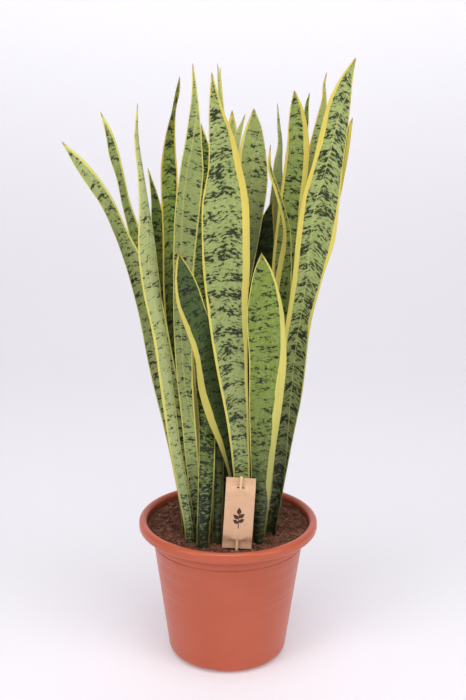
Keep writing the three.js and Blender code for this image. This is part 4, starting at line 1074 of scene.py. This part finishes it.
top = CARD_ABOVE_SOIL + CARD_HEIGHT + SKEWER_ABOVE_CARD
point = [-SKEWER_IN_SOIL, SKEWER_POINT - SKEWER_IN_SOIL]
shaft = np.linspace(-30 * MM, top - 0.6 * MM, SHAFT_RINGS)
heights = np.concatenate([point, shaft, [top - 0.2 * MM, top]])
shares = [0.25, 0.97] + [0.97 + 0.02 * math.sin(7 * k) for k in range(SHAFT_RINGS)] + [0.85, 0.6]
radii = [SKEWER_RADIUS * share for share in shares]
vertices, faces = tube(np.stack([0 * heights, 0 * heights, heights], axis=1), radii, 18)
skewer = mesh_object("bamboo_skewer", leaning(vertices), faces, bamboo())
skewer.data.set_sharp_from_angle(angle=math.radians(50))
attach(skewer, "root")
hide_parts("label_skewer")

# ---------- the card label ----------
# A tag punched from brown kraft board, with a short slit near each end. The skewer
# runs in front of it at the ends and behind it between the slits, and a plain sprig
# is printed on its face.

SLIT_FROM_EDGE = 11 * MM
SLIT_HALF_WIDTH = 4.2 * MM
SLIT_GAP = 0.3 * MM        # half the slit's opening


def card_surface(x, height):
    """How far the middle of the board stands behind the skewer's axis."""
    away = SKEWER_RADIUS + CARD_CLEARANCE + CARD_THICKNESS / 2
    from_edge = min(height, CARD_HEIGHT - height)
    aside = min(1.0, max(0.0, (abs(x) - SLIT_HALF_WIDTH) / (7 * MM)))
    below = (0.7 + 5 * aside) * MM
    beyond = (0.7 + 7 * aside) * MM
    crossing = float(smooth_step(from_edge, SLIT_FROM_EDGE - below, SLIT_FROM_EDGE + beyond))
    side_bow = 0.5 * MM * (abs(x) / (CARD_WIDTH / 2)) ** 2
    return away - 2 * away * crossing + side_bow * crossing


def card_board():
    columns = np.linspace(-CARD_WIDTH / 2, CARD_WIDTH / 2, 27)
    columns = np.unique(np.concatenate([columns, [-SLIT_HALF_WIDTH, SLIT_HALF_WIDTH]]))
    slit_rows = [SLIT_FROM_EDGE - SLIT_GAP, SLIT_FROM_EDGE + SLIT_GAP]
    slit_rows += [CARD_HEIGHT - SLIT_FROM_EDGE - SLIT_GAP, CARD_HEIGHT - SLIT_FROM_EDGE + SLIT_GAP]
    rows = np.unique(np.concatenate([np.linspace(0, CARD_HEIGHT, 69), slit_rows]).round(6))
    across, up = len(columns), len(rows)
    front = [(x, card_surface(x, h) - CARD_THICKNESS / 2, CARD_ABOVE_SOIL + h) for h in rows for x in columns]
    back = [(x, y + CARD_THICKNESS, z) for x, y, z in front]
    offset = len(front)
    solid = np.ones((up - 1, across - 1), bool)
    for r in range(up - 1):
        for c in range(across - 1):
            middle = (rows[r] + rows[r + 1]) / 2
            from_edge = min(middle, CARD_HEIGHT - middle)
            in_slit = abs(from_edge - SLIT_FROM_EDGE) < SLIT_GAP
            if in_slit and abs(columns[c] + columns[c + 1]) / 2 < SLIT_HALF_WIDTH:
                solid[r, c] = False
    faces = []
    for r in range(up - 1):
        for c in range(across - 1):
            if not solid[r, c]:
                continue
            a, b = r * across + c, r * across + c + 1
            d, e = a + across, b + across
            faces += [(a, b, e, d), (offset + a, offset + d, offset + e, offset + b)]
            for open_side, edge in ((r == 0 or not solid[r - 1, c], (a, b)),
                                    (r == up - 2 or not solid[r + 1, c], (e, d)),
                                    (c == 0 or not solid[r, c - 1], (d, a)),
                                    (c == across - 2 or not solid[r, c + 1], (b, e))):
                if open_side:
                    faces.append((edge[1], edge[0], offset + edge[0], offset + edge[1]))
    return leaning(front + back), faces


def kraft_board():
    w = Wiring("kraft_board")
    place = w.place()
    fibre = w.noise(w.stretched(place, (1, 1, 0.35)), 1500, 3, 0.6)
    clouds = w.noise(place, 110, 3)
    colour = w.mix(clouds, shade(212, 167, 133), shade(228, 188, 153))
    colour = w.mix(w.step(fibre, 0.56, 0.72, 0, 0.4), colour, shade(172, 124, 90))
    colour = w.mix(w.step(w.noise(place, 900, 2), 0.66, 0.74, 0, 0.5), colour, shade(236, 204, 172))
    return w.finish(colour, 0.86, w.bump(fibre, 0.4, 0.0003), Specular_IOR_Level=0.25)


vertices, faces = card_board()
card = mesh_object("kraft_label", vertices, faces, kraft_board())
card.data.set_sharp_from_angle(angle=math.radians(40))
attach(card, "root")
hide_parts("label_card")


def ink():
    w = Wiring("brown_ink")
    worn = w.noise(w.place(), 1300, 3)
    colour = w.mix(w.step(worn, 0.5, 0.72), shade(74, 50, 38), shade(122, 88, 66))
    return w.finish(colour, 0.8, w.bump(worn, 0.2, 0.0001), Specular_IOR_Level=0.25)


def sprig_shapes():
    """Outlines on the face of the label, in millimetres from the middle of the sprig."""
    stem = [(-0.5, -12), (0.5, -12), (0.4, 5.4), (-0.4, 5.4)]
    shapes = [stem]
    for x, y, angle, size in ((0, 4.6, 90, 8.5), (0.3, 0.7, 42, 8), (-0.3, -0.7, 138, 8),
                              (0.3, -4.6, 36, 7.4), (-0.3, -6, 144, 7.4)):
        edge = [(size * t, 0.30 * size * math.sin(math.pi * t ** 0.8)) for t in np.linspace(0, 1, 13)]
        outline = edge + [(u, -v) for u, v in edge[-2:0:-1]]
        c, s = math.cos(math.radians(angle)), math.sin(math.radians(angle))
        shapes.append([(x + c * u - s * v, y + s * u + c * v) for u, v in outline])
    return shapes


SPRIG_HEIGHT = 38 * MM      # middle of the sprig above the label's lower edge
PRINT_THICKNESS = 0.05 * MM
vertices, faces = [], []
for outline in sprig_shapes():
    start, count = len(vertices), len(outline)
    for lift in (PRINT_THICKNESS, 0):
        for x, y in outline:
            height = SPRIG_HEIGHT + y * MM
            board = card_surface(x * MM, height) - CARD_THICKNESS / 2
            vertices.append((x * MM, board - lift, CARD_ABOVE_SOIL + height))
    faces.append(tuple(range(start, start + count)))
    faces.append(tuple(range(start + count, start + 2 * count))[::-1])
    for i in range(count):
        j = (i + 1) % count
        faces.append((start + j, start + i, start + count + i, start + count + j))
sprig = mesh_object("printed_sprig", leaning(vertices), faces, ink(), smooth=False)
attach(sprig, "root")

# ---------- floor, light and camera ----------
# A sheet of white background paper swept up behind the plant, under broad soft lights.

SWEEP_HALF_WIDTH = 3.2
SWEEP_FRONT = -2.2
SWEEP_BACK = 1.1
SWEEP_CURVE = 0.7
SWEEP_TOP = 3.6
PAPER_GLOW = 0.23      # painted glow: the paper gives off light of its own, which also lights the plant
ROOM_LIGHT = 0.27


def white_paper():
    w = Wiring("white_paper")
    # Painted light: the white paper is painted darker on the floor and lighter up the sweep, and it glows.
    colour = w.mix(w.step(w.height(w.place()), 0, 0.9), shade(224, 221, 226), shade(251, 250, 254))
    return w.finish(colour, 0.9, Specular_IOR_Level=0.1, Emission_Color=(0.97, 0.96, 1.0, 1),
                    Emission_Strength=PAPER_GLOW)


profile = [(SWEEP_FRONT, 0), (SWEEP_BACK, 0)]
profile += arc(SWEEP_BACK, SWEEP_CURVE, SWEEP_CURVE, -90, 0, 24)[1:]
profile.append((SWEEP_BACK + SWEEP_CURVE, SWEEP_TOP))
vertices = [(x, y, z) for y, z in profile for x in (-SWEEP_HALF_WIDTH, SWEEP_HALF_WIDTH)]
faces = [(2 * i, 2 * i + 1, 2 * i + 3, 2 * i + 2) for i in range(len(profile) - 1)]
paper = mesh_object("paper_sweep", vertices, faces, white_paper())

world = bpy.data.worlds.new("soft_room")
world.use_nodes = True
background = world.node_tree.nodes["Background"]
background.inputs["Color"].default_value = (0.96, 0.96, 1.0, 1)
background.inputs["Strength"].default_value = ROOM_LIGHT
bpy.context.scene.world = world


def softbox(name, place, aim, size, watts):
    lamp = bpy.data.lights.new(name, "AREA")
    lamp.shape = "RECTANGLE"
    lamp.size, lamp.size_y = size
    lamp.energy = watts
    holder = bpy.data.objects.new(name, lamp)
    holder.location = place
    holder.rotation_euler = (Vector(aim) - Vector(place)).to_track_quat("-Z", "Y").to_euler()
    bpy.context.scene.collection.objects.link(holder)


softbox("overhead_box", (0.0, -0.75, 2.0), (0, 0, 0.25), (1.4, 1.2), 23)
softbox("left_box", (-1.7, -1.5, 1.2), (0, 0, 0.35), (1.0, 1.5), 16)
softbox("right_box", (1.8, -1.3, 1.1), (0, 0, 0.35), (1.0, 1.5), 14)

CAMERA_PLACE = (0, -1.366, 0.770)
CAMERA_DOWN = math.radians(16.13)
CAMERA_YAW = math.radians(0.17)
CAMERA_ROLL = math.radians(0.49)
LENS_LENGTH = 64.29
SENSOR_WIDTH = 36

level = Vector((math.sin(CAMERA_YAW), math.cos(CAMERA_YAW), 0))
ahead = level * math.cos(CAMERA_DOWN) - Vector((0, 0, math.sin(CAMERA_DOWN)))
right = Vector((math.cos(CAMERA_YAW), -math.sin(CAMERA_YAW), 0))
up = right.cross(ahead)
rolled_right = right * math.cos(CAMERA_ROLL) + up * math.sin(CAMERA_ROLL)
rolled_up = up * math.cos(CAMERA_ROLL) - right * math.sin(CAMERA_ROLL)
lens = bpy.data.cameras.new("front_camera")
lens.lens = LENS_LENGTH
lens.sensor_width = SENSOR_WIDTH
camera = bpy.data.objects.new("front_camera", lens)
turn = Matrix((rolled_right, rolled_up, -ahead)).transposed().to_4x4()
camera.matrix_world = Matrix.Translation(CAMERA_PLACE) @ turn
bpy.context.scene.collection.objects.link(camera)
bpy.context.scene.camera = camera
bpy.context.scene.view_settings.view_transform = "Standard"
